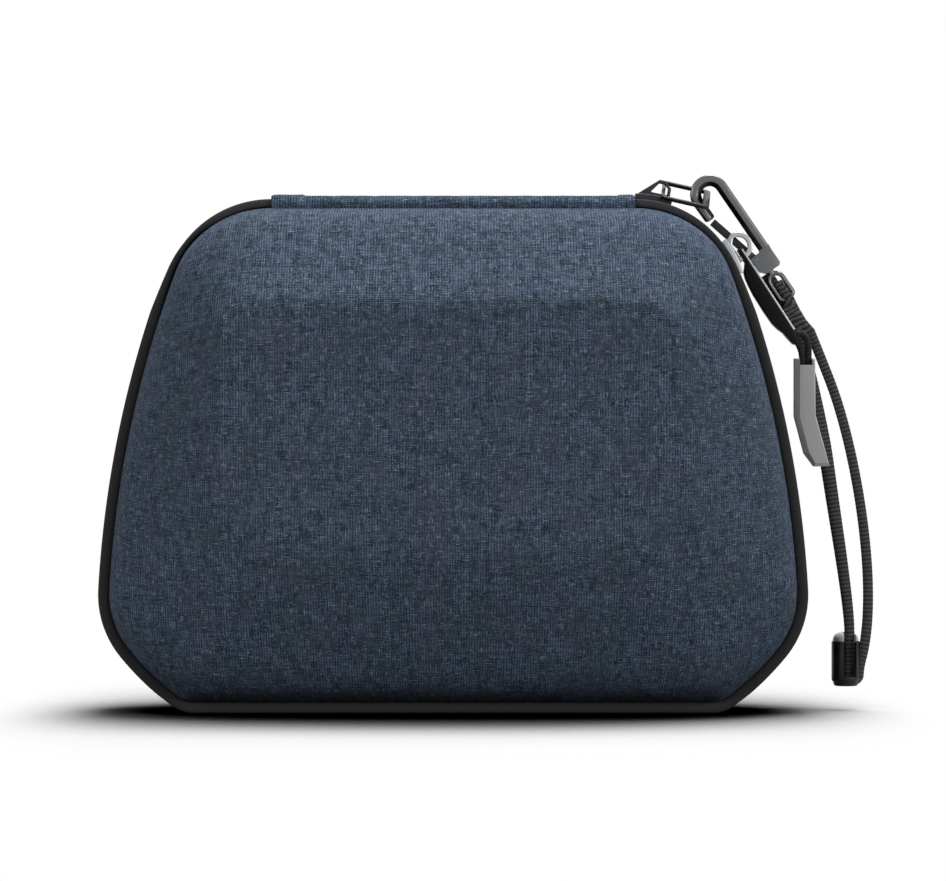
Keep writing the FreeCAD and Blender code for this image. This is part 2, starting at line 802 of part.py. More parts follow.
def swept(name, points, depth, section, area):
    """A plain length of strap or cord along its route."""
    path, radii = rounded_path(points, depth)
    shape = path.makePipeShell([section], True, False)
    if shape.Volume < 0:
        shape = shape.reversed()
    share = shape.Volume / (area * path.Length)
    print(name, "length", round(path.Length, 1), "share of section", round(share, 4))
    print(name, "radii", [round(radius, 1) for radius in radii])
    if abs(share - 1) > 0.02:
        raise ValueError(name + " is not swept whole")
    return solid_feature(name, shape)


def strip_section(start, towards, width, thickness, depth):
    """A rectangle across the start of a route, its width in the plane of the route."""
    aim = V(towards[0] - start[0], 0, towards[1] - start[1]).normalize()
    across = V(aim.z, 0, -aim.x) * (width / 2)
    deep = V(0, thickness / 2, 0)
    at = V(start[0], depth, start[1])
    corners = [at + across + deep, at - across + deep, at - across - deep, at + across - deep]
    return Part.makePolygon(corners + corners[:1])


strap_route = STRAP_DOWN + STRAP_UP
strap_width = size("strap_width")
strap_thickness = size("strap_thickness")
strap_start = strip_section(
    strap_route[0], strap_route[1], strap_width, strap_thickness, hook_y
)
swept("lanyard_strap", strap_route, hook_y, strap_start, strap_width * strap_thickness)

# Sewn end of the strap, folded round the far bar of the swivel eye.
wrap = new_body("lanyard_wrap")
bar_p = eye_end - eye_wire / 2
wrap_play = 0.12
wrap_half = eye_half - eye_wire - 0.15
wrap_wide = 2.0
bottom = V(STRAP_DOWN[0][0], STRAP_DOWN[0][1], 0)
bottom_up = V(STRAP_UP[-1][0], STRAP_UP[-1][1], 0)
sideways = (bottom_up - bottom).normalize()
wrap_edges = closed(
    [
        on_hook(bar_p - 2.0, axis_q - wrap_half),
        on_hook(eye_end + 0.3, axis_q - wrap_half),
        on_hook(eye_end + 1.1, axis_q - wrap_wide),
        bottom - sideways * (strap_width / 2 + 0.1),
        bottom_up + sideways * (strap_width / 2 + 0.1),
        on_hook(eye_end + 1.1, axis_q + wrap_wide),
        on_hook(eye_end + 0.3, axis_q + wrap_half),
        on_hook(bar_p - 2.0, axis_q + wrap_half),
    ]
)
hook_plane = "-sizes.hook_plane_y"
pad(wrap, wrap_edges, "sizes.wrap_thickness", hook_plane + " - sizes.wrap_thickness / 2")
bar_room = [
    on_hook(bar_p - eye_wire / 2 - wrap_play, axis_q - eye_half),
    on_hook(bar_p + eye_wire / 2 + wrap_play, axis_q - eye_half),
    on_hook(bar_p + eye_wire / 2 + wrap_play, axis_q + eye_half),
    on_hook(bar_p - eye_wire / 2 - wrap_play, axis_q + eye_half),
]
bar_slot = size("eye_thickness") + 2 * wrap_play
pocket(wrap, closed(bar_room), f"{bar_slot}", hook_plane + f" + {bar_slot / 2}")

# Stopper: a moulded barrel, open at one side, with the strap through it.
stopper_x = size("stopper_x")
foot_z = size("stopper_foot")
tall = size("stopper_height")
stopper = new_body("stopper_body")
barrel = [Part.Circle(V(stopper_x, hook_y, 0), V(0, 0, 1), size("stopper_radius"))]
pad(stopper, barrel, "sizes.stopper_height", "sizes.stopper_foot", role="XY_Plane")
strap_room = strap_thickness / 2 + 0.25
slot_left = STRAP_DOWN[-2][0] - strap_width / 2 - 0.3
slot_right = stopper_x + size("stopper_radius") + 1
strap_slot = closed(
    [
        V(slot_left, hook_y - strap_room, 0),
        V(slot_right, hook_y - strap_room, 0),
        V(slot_right, hook_y + strap_room, 0),
        V(slot_left, hook_y + strap_room, 0),
    ]
)
stopper_top = "sizes.stopper_foot + sizes.stopper_height"
pocket(stopper, strap_slot, "2 * sizes.stopper_height", stopper_top, role="XY_Plane")
button_x = stopper_x - 2.25
button_at = V(button_x, hook_y, 0)
stem_bore = [
    Part.Circle(button_at, V(0, 0, 1), size("button_stem_radius") + size("button_clearance"))
]
bore_deep = "sizes.button_stem + sizes.button_rise + 0.3"
pocket(stopper, stem_bore, bore_deep, stopper_top, role="XY_Plane")

# Button of the stopper: a cap on a stem that slides in the barrel.
button = new_body("stopper_button")
cap_at = "sizes.stopper_foot + sizes.stopper_height + sizes.button_rise"
cap = [Part.Circle(button_at, V(0, 0, 1), size("button_radius"))]
pad(button, cap, "sizes.button_cap", cap_at, role="XY_Plane")
stem_length = "sizes.button_stem + sizes.button_rise"
stem_circle = [Part.Circle(button_at, V(0, 0, 1), size("button_stem_radius"))]
pad(button, stem_circle, stem_length, cap_at + " - (" + stem_length + ")", role="XY_Plane")

# Pull tab: a long rubber tab on a pin in the bow of the lower slider.
# Its own x runs down the tab and its own z points away from the case.
tab_pivot = along_rim(size("lower_slider_angle"), -0.2, 1.65)
tab_turn = Rot(V(0, 1, 0), size("tab_tilt"))
tab_long = size("tab_length")
thick = size("tab_thickness")
lug = tab_long - 6.5
tab = new_body("lower_pull_tab")
tab_edges = closed(
    [
        V(-1.0, -0.75, 0),
        V(3.0, -0.75, 0),
        V(4.0, -1.5, 0),
        V(6.5, 0.85 - thick, 0),
        V(lug - 1.5, 0.85 - thick, 0),
        V(lug + 0.5, 1.3 - thick, 0),
        V(lug + 2.5, -0.9, 0),
        V(tab_long - 0.3, -0.9, 0),
        V(tab_long, -0.6, 0),
        V(tab_long, 0.1, 0),
        V(tab_long - 0.3, 0.4, 0),
        V(lug + 3.4, 0.4, 0),
        V(lug + 2.8, 0.85, 0),
        V(0, 0.85, 0),
        V(-1.0, 0.3, 0),
    ]
)
pad(tab, tab_edges, "2 * sizes.tab_half_width", middle=True)
fork_deep = 5.4
fork = closed([V(-3, -4, 0), V(fork_deep, -4, 0), V(fork_deep, 4, 0), V(-3, 4, 0)])
pocket(tab, fork, "2 * sizes.bridge_half_width + 0.6", middle=True)
tab_pin = [Part.Circle(zero, V(0, 0, 1), size("tab_pin_radius"))]
pad(tab, tab_pin, "2 * sizes.tab_half_width", middle=True)
eye_x = tab_long - 1.9
tab_eye = [Part.Circle(V(eye_x, 0, 0), V(0, 0, 1), size("tab_eye_radius"))]
pocket(tab, tab_eye, "4 * sizes.tab_thickness", role="XY_Plane", middle=True)
place(tab, tab_pivot.x, 0, tab_pivot.y, tab_turn)

# Cord through the eye of the tab, both ends moulded into the grip.
def on_tab(p, q):
    """A point of the tab's own plane, in the plane of the front view."""
    point = tab.Placement.multVec(V(p, 0, q))
    return (point.x, point.z)


grip_top = 90.7
leg_low = tab_long + 1.5
cord_route = [
    (89.2, grip_top - 3.0),
    on_tab(leg_low, -1.9),
    on_tab(eye_x, -1.9),
    on_tab(eye_x, 1.4),
    on_tab(leg_low, 1.4),
    (91.5, grip_top - 3.0),
]
cord_aim = V(cord_route[1][0] - cord_route[0][0], 0, cord_route[1][1] - cord_route[0][1])
cord_start = V(cord_route[0][0], 0, cord_route[0][1])
cord_radius = size("cord_radius")
cord_section = Part.Wire([Part.Circle(cord_start, cord_aim, cord_radius).toShape()])
swept("pull_cord", cord_route, 0, cord_section, math.pi * cord_radius**2)

# Grip: a faceted weight moulded over the ends of the cord, with a waist and a slanted foot.
GRIP_OUTLINE = [
    (87.7, 90.7), (92.8, 90.7), (93.1, 88.9), (93.1, 76.0), (96.7, 63.1),
    (92.7, 62.9), (90.2, 66.3), (87.7, 75.8),
]
grip = new_body("pull_grip")
grip_points = [V(x, z, 0) for x, z in GRIP_OUTLINE]
pad(grip, closed(grip_points), "2 * sizes.grip_half_width", middle=True)


def left_side(edge):
    """The long edges on the inner side of the grip, front and back."""
    middle = edge.valueAt((edge.FirstParameter + edge.LastParameter) / 2)
    inner_line = middle.x < 89.2 and edge.BoundBox.YLength < 1e-6
    return inner_line and edge.BoundBox.ZLength > 2


bevel_names = []
block = grip.Tip
for number, edge in enumerate(block.Shape.Edges, start=1):
    if left_side(edge):
        bevel_names.append(f"Edge{number}")
bevel = grip.newObject("PartDesign::Chamfer", "pull_grip_bevel")
bevel.Base = (block, bevel_names)
bevel.Size = 1.2
grip.Tip = bevel

# Inside, cut to fit between the walls of the moulded halves.
lining_inset = size("bead_height") + size("shell_wall")
cavity = Part.makeLoft(shell_rings(lining_inset, size("shell_wall")), True, True)
front_cavity = cavity.mirror(V(0, 0, 0), V(0, 1, 0))
rim_wide = 2 * side_low.x
band_low = 56.0
band_y = size("half_gap") + 2.0
band_box = Part.makeBox(
    rim_wide,
    size("band_thickness"),
    size("band_width"),
    V(-rim_wide / 2, band_y, band_low),
)
solid_feature("holding_band", cavity.common(band_box))

net_back = -band_y
net_box = Part.makeBox(
    rim_wide,
    size("net_thickness"),
    size("pocket_height"),
    V(-rim_wide / 2, net_back - size("net_thickness"), 0),
)
solid_feature("pocket_net", front_cavity.common(net_box))
hem_box = Part.makeBox(
    rim_wide,
    2 * size("net_thickness"),
    size("hem_size"),
    V(-rim_wide / 2, net_back - 1.5 * size("net_thickness"), size("pocket_height")),
)
solid_feature("pocket_hem", front_cavity.common(hem_box))

doc.recompute()
for thing in doc.Objects:
    if "Invalid" in thing.State or "Error" in thing.State:
        raise ValueError(thing.Name + " failed: " + ", ".join(thing.State))
os.makedirs("parts", exist_ok=True)
for part in parts:
    shape = part.Shape
    if shape.isNull() or not shape.isValid():
        raise ValueError(part.Label + " has no valid shape")
    print(part.Label, len(shape.Solids), round(shape.Volume, 2))
    shape.exportStep("parts/" + part.Label + ".step")
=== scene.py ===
import math

import bmesh
import bpy
import numpy as np
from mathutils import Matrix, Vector


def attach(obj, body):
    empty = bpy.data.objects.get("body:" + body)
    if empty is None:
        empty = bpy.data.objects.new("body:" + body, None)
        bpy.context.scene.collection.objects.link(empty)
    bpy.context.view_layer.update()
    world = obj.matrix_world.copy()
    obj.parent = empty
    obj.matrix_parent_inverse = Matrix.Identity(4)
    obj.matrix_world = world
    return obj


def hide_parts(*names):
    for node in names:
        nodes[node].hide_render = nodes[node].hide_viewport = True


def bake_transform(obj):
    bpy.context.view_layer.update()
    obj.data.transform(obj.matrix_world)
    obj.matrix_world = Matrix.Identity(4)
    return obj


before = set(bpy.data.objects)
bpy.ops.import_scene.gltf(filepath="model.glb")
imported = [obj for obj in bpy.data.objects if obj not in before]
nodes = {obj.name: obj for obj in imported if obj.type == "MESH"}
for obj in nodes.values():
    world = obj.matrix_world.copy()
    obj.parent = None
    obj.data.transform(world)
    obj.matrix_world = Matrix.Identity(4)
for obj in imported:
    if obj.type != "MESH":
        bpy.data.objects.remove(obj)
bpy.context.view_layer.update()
MM = 0.001

# Camera: level and straight on, at a little over half the height of the case.
# The picture plane's scale is the one that the case's width was read with.
PHOTO_WIDTH = 946
PIXELS_PER_MM = 3.916
camera_distance = 1.10
camera_height = 69.6 * MM
camera_right = 5.06 * MM
front_rim = -9.0 * MM
sensor = 36.0
bpy.ops.object.camera_add(
    location=(camera_right, front_rim - camera_distance, camera_height),
    rotation=(math.radians(90), 0, 0),
)
camera = bpy.context.object
camera.data.sensor_width = sensor
camera.data.lens = sensor * PIXELS_PER_MM * camera_distance / MM / PHOTO_WIDTH
camera.data.clip_start = 0.05
bpy.context.scene.camera = camera
bpy.context.scene.view_settings.view_transform = "Standard"

# Studio: a pale floor with white all round, a large soft lamp high above and two weaker
# ones in front. The floor's colour is darkened by ambient occlusion where the case
# covers it, a painted contact shadow, and it shows white further off.
WORLD_FILL = 0.14
FLOOR_FILL, FLOOR_SEEN = 0.22, 0.60
CONTACT_REACH, CONTACT_DARK = 0.11, 0.42
CASE_FOOT = (0.075, 0.009, 0)
SIDEWAYS_FADE = (3.5, 1.0, 1.0)
FADE_FROM, FADE_TO = 0.04, 0.17
LAMP_AIM = (0.0, 0.0, 0.06)


def shader_tree(owner):
    """An emptied node tree with its output, for a material or the world."""
    owner.use_nodes = True
    tree = owner.node_tree
    tree.nodes.clear()
    kind = "ShaderNodeOutputMaterial"
    if owner == bpy.context.scene.world:
        kind = "ShaderNodeOutputWorld"
    return tree, tree.nodes.new(kind)


def put(tree, kind, values=None, **settings):
    """A node with its settings, and its inputs set or linked by name."""
    node = tree.nodes.new(kind)
    for name, value in settings.items():
        setattr(node, name, value)
    for name, value in (values or {}).items():
        if isinstance(value, bpy.types.NodeSocket):
            tree.links.new(value, node.inputs[name])
        else:
            node.inputs[name].default_value = value
    return node


def maths(tree, operation, *values):
    """The result of a Math node on numbers or sockets."""
    return put(tree, "ShaderNodeMath", dict(enumerate(values)), operation=operation).outputs[0]


def scaled(tree, value, low, high, to_low=0.0, to_high=1.0, **settings):
    """The value carried from the range low to high over to the range to_low to to_high."""
    values = {
        "Value": value, "From Min": low, "From Max": high, "To Min": to_low, "To Max": to_high
    }
    return put(tree, "ShaderNodeMapRange", values, **settings).outputs[0]


def seen_directly(tree):
    """1 for what the camera sees, also in a mirror, and 0 for light that only bounces."""
    path = put(tree, "ShaderNodeLightPath")
    return maths(tree, "MAXIMUM", path.outputs["Is Camera Ray"], path.outputs["Is Glossy Ray"])


def mixed_surface(tree, out, share, first, second):
    """Two shader nodes mixed into the output by a share socket."""
    mix = put(tree, "ShaderNodeMixShader", {0: share})
    tree.links.new(first.outputs[0], mix.inputs[1])
    tree.links.new(second.outputs[0], mix.inputs[2])
    tree.links.new(mix.outputs[0], out.inputs[0])


world = bpy.data.worlds.new("studio")
bpy.context.scene.world = world
tree, out = shader_tree(world)
seen = seen_directly(tree)
fill = put(tree, "ShaderNodeBackground", {"Color": (1, 1, 1, 1), "Strength": WORLD_FILL})
white = put(tree, "ShaderNodeBackground", {"Color": (1, 1, 1, 1), "Strength": 1.0})
mixed_surface(tree, out, seen, fill, white)

bpy.ops.mesh.primitive_plane_add(size=60, location=(0, 0, 0))
floor = bpy.context.object
floor.name = "floor"
floor_finish = bpy.data.materials.new("pale_floor")
floor.data.materials.append(floor_finish)
tree, out = shader_tree(floor_finish)
seen = seen_directly(tree)
# Painted contact shadow: ambient occlusion near the case darkens the floor's colour.
painted_contact_shadow = put(tree, "ShaderNodeAmbientOcclusion", {"Distance": CONTACT_REACH}, samples=16)
painted_contact_shadow = scaled(
    tree, painted_contact_shadow.outputs["AO"], CONTACT_DARK, 1.0, interpolation_type="SMOOTHSTEP"
)
tone = maths(tree, "MULTIPLY", scaled(tree, seen, 0.0, 1.0, FLOOR_FILL, FLOOR_SEEN), painted_contact_shadow)
paint = put(tree, "ShaderNodeBsdfDiffuse", {"Color": tone})
far_white = put(tree, "ShaderNodeEmission", {"Strength": 1.0})
spot = put(tree, "ShaderNodeTexCoord").outputs["Object"]
for operation, *values in (
    ("ABSOLUTE",), ("SUBTRACT", CASE_FOOT), ("MAXIMUM", (0, 0, 0)), ("MULTIPLY", SIDEWAYS_FADE)
):
    values = dict(enumerate((spot, *values)))
    spot = put(tree, "ShaderNodeVectorMath", values, operation=operation).outputs[0]
away = put(tree, "ShaderNodeVectorMath", {0: spot}, operation="LENGTH").outputs["Value"]
fade = scaled(tree, away, FADE_FROM, FADE_TO, interpolation_type="SMOOTHSTEP")
mixed_surface(tree, out, maths(tree, "MULTIPLY", fade, seen), paint, far_white)


def lamp(name, place, size, watts):
    """A round soft lamp, turned to the middle of the case."""
    bpy.ops.object.light_add(type="AREA", location=place)
    light = bpy.context.object
    light.name = name
    light.data.shape = "DISK"
    light.data.size = size
    light.data.energy = watts
    light.rotation_mode = "QUATERNION"
    light.rotation_quaternion = (Vector(LAMP_AIM) - Vector(place)).to_track_quat("-Z", "Y")


lamp("top_lamp", (0.22, 0.20, 1.18), 0.8, 22.0)
lamp("right_lamp", (1.05, -0.95, 0.32), 0.7, 10.4)
lamp("left_lamp", (-1.05, -0.95, 0.32), 0.7, 7.9)

# Moulded shells: heathered blue-grey cloth laminated on foam and pressed in a mould, with
# a black knitted lining inside. A steep wall, four sloping facets and a flat middle.
# Sizes are in mm. A turn of the rim is its radius with its first and last direction.
RIM_TOP = 132.1
CORNER_X = 46.5
RIM_TURNS = [
    (28.6, 90.0, 20.5), (278.0, 20.5, 3.2), (25.0, 3.2, -39.0), (72.0, -39.0, -54.13),
    (8.0, -54.13, -90.0),
]
RIM_COUNTS = (22, 40, 16, 12, 8)
TOP_COUNT, BASE_COUNT = 26, 36
PLATEAU_LOW, PLATEAU_HIGH, PLATEAU_HALF, PLATEAU_CORNER = 43.4, 103.7, 57.3, 12.0
PLATEAU_SPANS = ((0, -40), (-40, -70), (-70, -90))
PIPING_HEIGHT = 2.4
SHELL_WALL = 3.4
HALF_GAP = 8.0
INNER_EDGE = 11.5
TOP_DROP, DROP_FROM, DROP_OVER = 0.5, 118, 11
CROWN = 0.25
outer_profile = np.array([
    (0.0, HALF_GAP), (0.027, 13.4), (0.078, 18.4), (0.138, 21.5), (0.238, 24.6),
    (0.45, 28.9), (0.66, 33.1), (0.86, 37.1), (0.94, 38.5), (1.0, 39.0),
])
inner_profile = outer_profile - (0, SHELL_WALL)
inner_profile[:2, 1] = HALF_GAP, INNER_EDGE


def finish(name, colour, roughness, metallic=0.0, specular=None):
    """A material with one surface shader. Dull finishes reflect less unless told."""
    material = bpy.data.materials.new(name)
    tree, out = shader_tree(material)
    values = {"Base Color": (*colour, 1), "Roughness": roughness, "Metallic": metallic}
    if specular is None and roughness > 0.7:
        specular = 0.2
    if specular is not None:
        values["Specular IOR Level"] = specular
    shader = put(tree, "ShaderNodeBsdfPrincipled", values)
    tree.links.new(shader.outputs[0], out.inputs[0])
    return material, tree, shader


def bump(tree, shader, height, distance, strength=1.0):
    """Fine relief from a height socket. The distance is in metres."""
    values = {"Height": height, "Distance": distance, "Strength": strength}
    node = put(tree, "ShaderNodeBump", values)
    tree.links.new(node.outputs[0], shader.inputs["Normal"])


def blend_colours(tree, share, first, second):
    """A mix of two colours or colour sockets."""
    node = put(tree, "ShaderNodeMix", data_type="RGBA")
    for index, value in ((0, share), (6, first), (7, second)):
        if isinstance(value, bpy.types.NodeSocket):
            tree.links.new(value, node.inputs[index])
        else:
            node.inputs[index].default_value = (*value, 1)
    return node.outputs[2]


def fine_noise(tree, scale, detail):
    """Noise on the piece's own coordinates."""
    place = put(tree, "ShaderNodeTexCoord").outputs["Object"]
    values = {"Vector": place, "Scale": scale, "Detail": detail}
    return put(tree, "ShaderNodeTexNoise", values).outputs[0]


def denim(name):
    """Heathered cloth: fine upright ribs, slubs both ways, pale flecks, on the UV map in mm."""
    dark, light = (0.006, 0.012, 0.022), (0.093, 0.136, 0.206)
    purple, teal, pale = (0.050, 0.046, 0.070), (0.026, 0.046, 0.052), (0.250, 0.300, 0.360)
    rib_pitch, weft_pitch = 0.69, 0.52
    facet_edge = (109.0, 99.0)
    material, tree, shader = finish(name, dark, 0.92, specular=0.12)
    uv = put(tree, "ShaderNodeTexCoord").outputs["UV"]

    def noise(scale, shift=0.0, detail=2.0):
        values = {"Vector": uv, "Scale": (*scale, 1), "Location": (shift, shift, shift)}
        place = put(tree, "ShaderNodeMapping", values).outputs[0]
        values = {"Vector": place, "Scale": 1.0, "Detail": detail, "Roughness": 0.6}
        return put(tree, "ShaderNodeTexNoise", values).outputs[0]

    def threads(direction, pitch):
        values = {
            "Vector": uv, "Scale": 0.314 / pitch, "Distortion": 1.1, "Detail": 1.0,
            "Detail Scale": 0.5,
        }
        return put(tree, "ShaderNodeTexWave", values, bands_direction=direction).outputs[1]

    def product(first, second):
        return maths(tree, "MULTIPLY", first, second)

    ribs = threads("X", rib_pitch)
    weft = threads("Y", weft_pitch)
    upright = scaled(tree, noise((2.6, 0.22)), 0.32, 0.68)
    slubs = scaled(tree, noise((0.13, 2.6), 31.0), 0.34, 0.66)
    grains = noise((3.0, 3.2), 7.0)
    mottle = scaled(tree, noise((0.16, 0.60), 83.0), 0.36, 0.64)
    rib_share = scaled(tree, noise((0.5, 0.16), 11.0), 0.36, 0.62, 0.08, 0.40)
    body = maths(tree, "ADD", product(upright, 0.20), product(slubs, 0.22))
    even = scaled(tree, grains, 0.37, 0.63)
    for part, share in ((even, 0.42), (mottle, 0.12), (ribs, rib_share)):
        body = maths(tree, "ADD", body, product(part, share))
    cloth = blend_colours(tree, scaled(tree, body, 0.41, 0.98), dark, light)
    height = put(tree, "ShaderNodeSeparateXYZ", {0: uv}).outputs["Y"]
    lower = scaled(tree, height, *facet_edge, 0.35, 1.0)
    for scale, shift, least, most, tint in (
        ((0.10, 0.07), 3.0, 0.06, 0.40, purple), ((0.09, 0.07), 43.0, 0.0, 0.36, teal)
    ):
        patches = scaled(tree, noise(scale, shift), 0.46, 0.62, least, most)
        cloth = blend_colours(tree, product(patches, lower), cloth, tint)
    short_upright = scaled(tree, noise((4.0, 0.45), 17.0, 1.0), 0.58, 0.76)
    short_level = scaled(tree, noise((0.45, 4.0), 5.0, 1.0), 0.58, 0.74)
    flecks = maths(tree, "MAXIMUM", short_upright, short_level)
    here = scaled(tree, noise((0.5, 0.5), 57.0), 0.40, 0.60, 0.3, 0.8)
    cloth = blend_colours(tree, product(flecks, here), cloth, pale)
    tree.links.new(cloth, shader.inputs["Base Color"])
    relief = maths(tree, "ADD", maths(tree, "ADD", ribs, weft), product(grains, 1.6))
    bump(tree, shader, relief, 0.00009, 0.7)
    return material


def heading(degrees):
    return np.array([math.cos(math.radians(degrees)), math.sin(math.radians(degrees))])


def arc(centre, radius, first, last, count):
    """Points on an arc between two directions in degrees, without the last."""
    return np.array([centre + radius * heading(a) for a in np.linspace(first, last, count)[:-1]])


def rim_side(inset, counts=RIM_COUNTS, top_count=TOP_COUNT, base_count=BASE_COUNT):
    """The right side of the rim, from the middle of the top to the middle of the base."""
    centre = np.array([CORNER_X, RIM_TOP - RIM_TURNS[0][0]])
    rows = [np.linspace((0, RIM_TOP - inset), (CORNER_X, RIM_TOP - inset), top_count)[:-1]]
    for index, (radius, first, last) in enumerate(RIM_TURNS):
        rows.append(arc(centre, radius - inset, first, last, counts[index]))
        if index + 1 < len(RIM_TURNS):
            centre = centre + (radius - RIM_TURNS[index + 1][0]) * heading(last)
    rows.append(np.linspace((centre[0], inset), (0, inset), base_count))
    return rows


def plateau_side():
    """The flat middle's right side, with the same number of points as the rim's."""
    across = PLATEAU_HALF - PLATEAU_CORNER
    upper = np.array([across, PLATEAU_HIGH - PLATEAU_CORNER])
    lower = np.array([across, PLATEAU_LOW + PLATEAU_CORNER])
    rows = [np.linspace((0, PLATEAU_HIGH), (across, PLATEAU_HIGH), TOP_COUNT)[:-1]]
    rows.append(arc(upper, PLATEAU_CORNER, 90, 0, RIM_COUNTS[0]))
    side = ((PLATEAU_HALF, upper[1]), (PLATEAU_HALF, lower[1]))
    rows.append(np.linspace(*side, RIM_COUNTS[1])[:-1])
    for count, (first, last) in zip(RIM_COUNTS[2:], PLATEAU_SPANS):
        rows.append(arc(lower, PLATEAU_CORNER, first, last, count))
    rows.append(np.linspace((across, PLATEAU_LOW), (0, PLATEAU_LOW), BASE_COUNT))
    return rows


def mirrored_loop(rows):
    """Both sides of an outline from its right side, which starts and ends at x = 0."""
    right = np.concatenate(rows)
    left = right[1:-1][::-1] * np.array([-1, 1])
    return np.concatenate([right, left])


def softened(profile, rounds):
    """Corner cutting on a row of points. Its ends stay."""
    for _ in range(rounds):
        cut = [profile[0]]
        for a, b in zip(profile, profile[1:]):
            cut += [a * 0.75 + b * 0.25, a * 0.25 + b * 0.75]
        profile = np.array(cut[:1] + cut[2:-1] + [profile[-1]])
    return profile


def shell_loops(inset, profile, centre_steps):
    """Loops of one half in mm as x, y, z on the +Y side, with their cloth coordinates."""
    rim = mirrored_loop(rim_side(inset))
    flat = mirrored_loop(plateau_side())
    middle = np.array([0, (PLATEAU_LOW + PLATEAU_HIGH) / 2])
    if inset > PIPING_HEIGHT:
        flat = middle + (flat - middle) * (1 - SHELL_WALL / PLATEAU_HALF)
    outward = rim - flat
    reach = np.linalg.norm(outward, axis=1)[:, None]
    outward = outward / reach
    loops = []
    cloth = []
    for index, (share, depth) in enumerate(profile):
        plan = rim * (1 - share) + flat * share
        if inset == PIPING_HEIGHT:
            plan[:, 1] -= TOP_DROP * np.clip((plan[:, 1] - DROP_FROM) / DROP_OVER, 0, 1)
        loops.append(np.column_stack([plan[:, 0], np.full(len(plan), depth), plan[:, 1]]))
        later = profile[index:]
        planar = np.diff(later[:, 0])[:, None] * reach.T
        rise = np.diff(later[:, 1])[:, None]
        run = np.sqrt(planar**2 + rise**2).sum(axis=0)[:, None]
        cloth.append(flat + outward * run)
    for step in range(1, centre_steps + 1):
        share = 1 - step / (centre_steps + 0.4)
        plan = middle + (flat - middle) * share
        depth = np.full(len(plan), profile[-1, 1] + CROWN * math.sin(math.pi / 2 * (1 - share)))
        loops.append(np.column_stack([plan[:, 0], depth, plan[:, 1]]))
        cloth.append(plan)
    return loops, cloth


def select_only(*objects):
    bpy.ops.object.select_all(action="DESELECT")
    for item in objects:
        item.select_set(True)
    bpy.context.view_layer.objects.active = objects[0]


def started(name, add, **settings):
    """A new piece from a primitive, with nothing else selected."""
    bpy.ops.object.select_all(action="DESELECT")
    add(**settings)
    piece = bpy.context.object
    piece.name = name
    return piece


def write_mesh(form, piece, smooth=True):
    """A built form put into a piece, with its faces turned outwards and made smooth."""
    bmesh.ops.recalc_face_normals(form, faces=form.faces)
    for face in form.faces:
        face.smooth = smooth or face.smooth
    form.to_mesh(piece.data)
    form.free()


def rings_mesh(name, rings, uv_rows, around=False):
    """A surface from closed rings of points, one outline after the other, in metres.

    A circle primitive gives the first ring's points, and the other rows are added to it.
    The ends are closed, or with around the last ring joins the first.
    """
    count = len(rings[0])
    piece = started(name, bpy.ops.mesh.primitive_circle_add, vertices=count, radius=1)
    form = bmesh.new()
    form.from_mesh(piece.data)
    rows = [list(form.verts)]
    for _ in rings[1:]:
        rows.append([form.verts.new() for _ in range(count)])
    for row, ring in zip(rows, rings):
        for vert, point in zip(row, ring):
            vert.co = point
    layer = form.loops.layers.uv.verify()
    for j in range(len(rows) if around else len(rows) - 1):
        after = rows[(j + 1) % len(rows)]
        for i in range(count):
            k = (i + 1) % count
            face = form.faces.new((rows[j][i], rows[j][k], after[k], after[i]))
            corners = ((j, i), (j, i + 1), (j + 1, i + 1), (j + 1, i))
            for loop, (row, column) in zip(face.loops, corners):
                loop[layer].uv = uv_rows[row][column]
    for end in () if around else (0, -1):
        face = form.faces.new(rows[end])
        for loop, corner in zip(face.loops, uv_rows[end]):
            loop[layer].uv = corner
    write_mesh(form, piece)
    return piece


denim_cloth = denim("denim_cloth")
lining, tree, shader = finish("black_lining", (0.016, 0.016, 0.018), 0.95)
bump(tree, shader, fine_noise(tree, 2600.0, 2.0), 0.00010, 0.6)
outer_loops, outer_cloth = shell_loops(PIPING_HEIGHT, softened(outer_profile, 2), 14)
inner_loops, inner_cloth = shell_loops(PIPING_HEIGHT + SHELL_WALL, softened(inner_profile, 1), 6)
for name, side, node, body in (
    ("front_cloth_shell", -1, "front_shell", "front_half"),
    ("back_cloth_shell", 1, "back_shell", "back_half"),
):
    rings = []
    uv_rows = []
    for loop, plan in zip(inner_loops[::-1] + outer_loops, inner_cloth[::-1] + outer_cloth):
        rings.append([Vector((x, side * y, z)) * MM for x, y, z in loop])
        row = [(side * u, v) for u, v in plan]
        uv_rows.append(row + row[:1])
    shell = rings_mesh(name, rings, uv_rows)
    shell.data.materials.append(denim_cloth)
    shell.data.materials.append(lining)
    count = len(rings[0])
    for index, polygon in enumerate(shell.data.polygons):
        if index < len(inner_loops) * count or index == (len(rings) - 1) * count:
            polygon.material_index = 1
    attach(shell, body)
    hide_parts(node)


# Holding band and pocket hem: ribbed black elastic, sewn to the lining at both ends. The
# band crosses the back half, and the hem is the upper edge of the front half's pocket.
def merged_copy(node, name, trim=None):
    """A solid's mesh copied, with its triangles joined and its flat faces made whole.

    A trim is a place and a direction, and takes off what lies behind them.
    """
    piece = bpy.data.objects.new(name, nodes[node].data.copy())
    bpy.context.scene.collection.objects.link(piece)
    select_only(piece)
    bpy.ops.object.mode_set(mode="EDIT")
    bpy.ops.mesh.select_all(action="SELECT")
    bpy.ops.mesh.remove_doubles(threshold=0.000002)
    if trim:
        place, facing = trim
        bpy.ops.mesh.bisect(plane_co=place, plane_no=facing, clear_inner=True, use_fill=True)
        bpy.ops.mesh.select_all(action="SELECT")
    bpy.ops.mesh.dissolve_limited(angle_limit=math.radians(1.0))
    bpy.ops.object.mode_set(mode="OBJECT")
    return piece


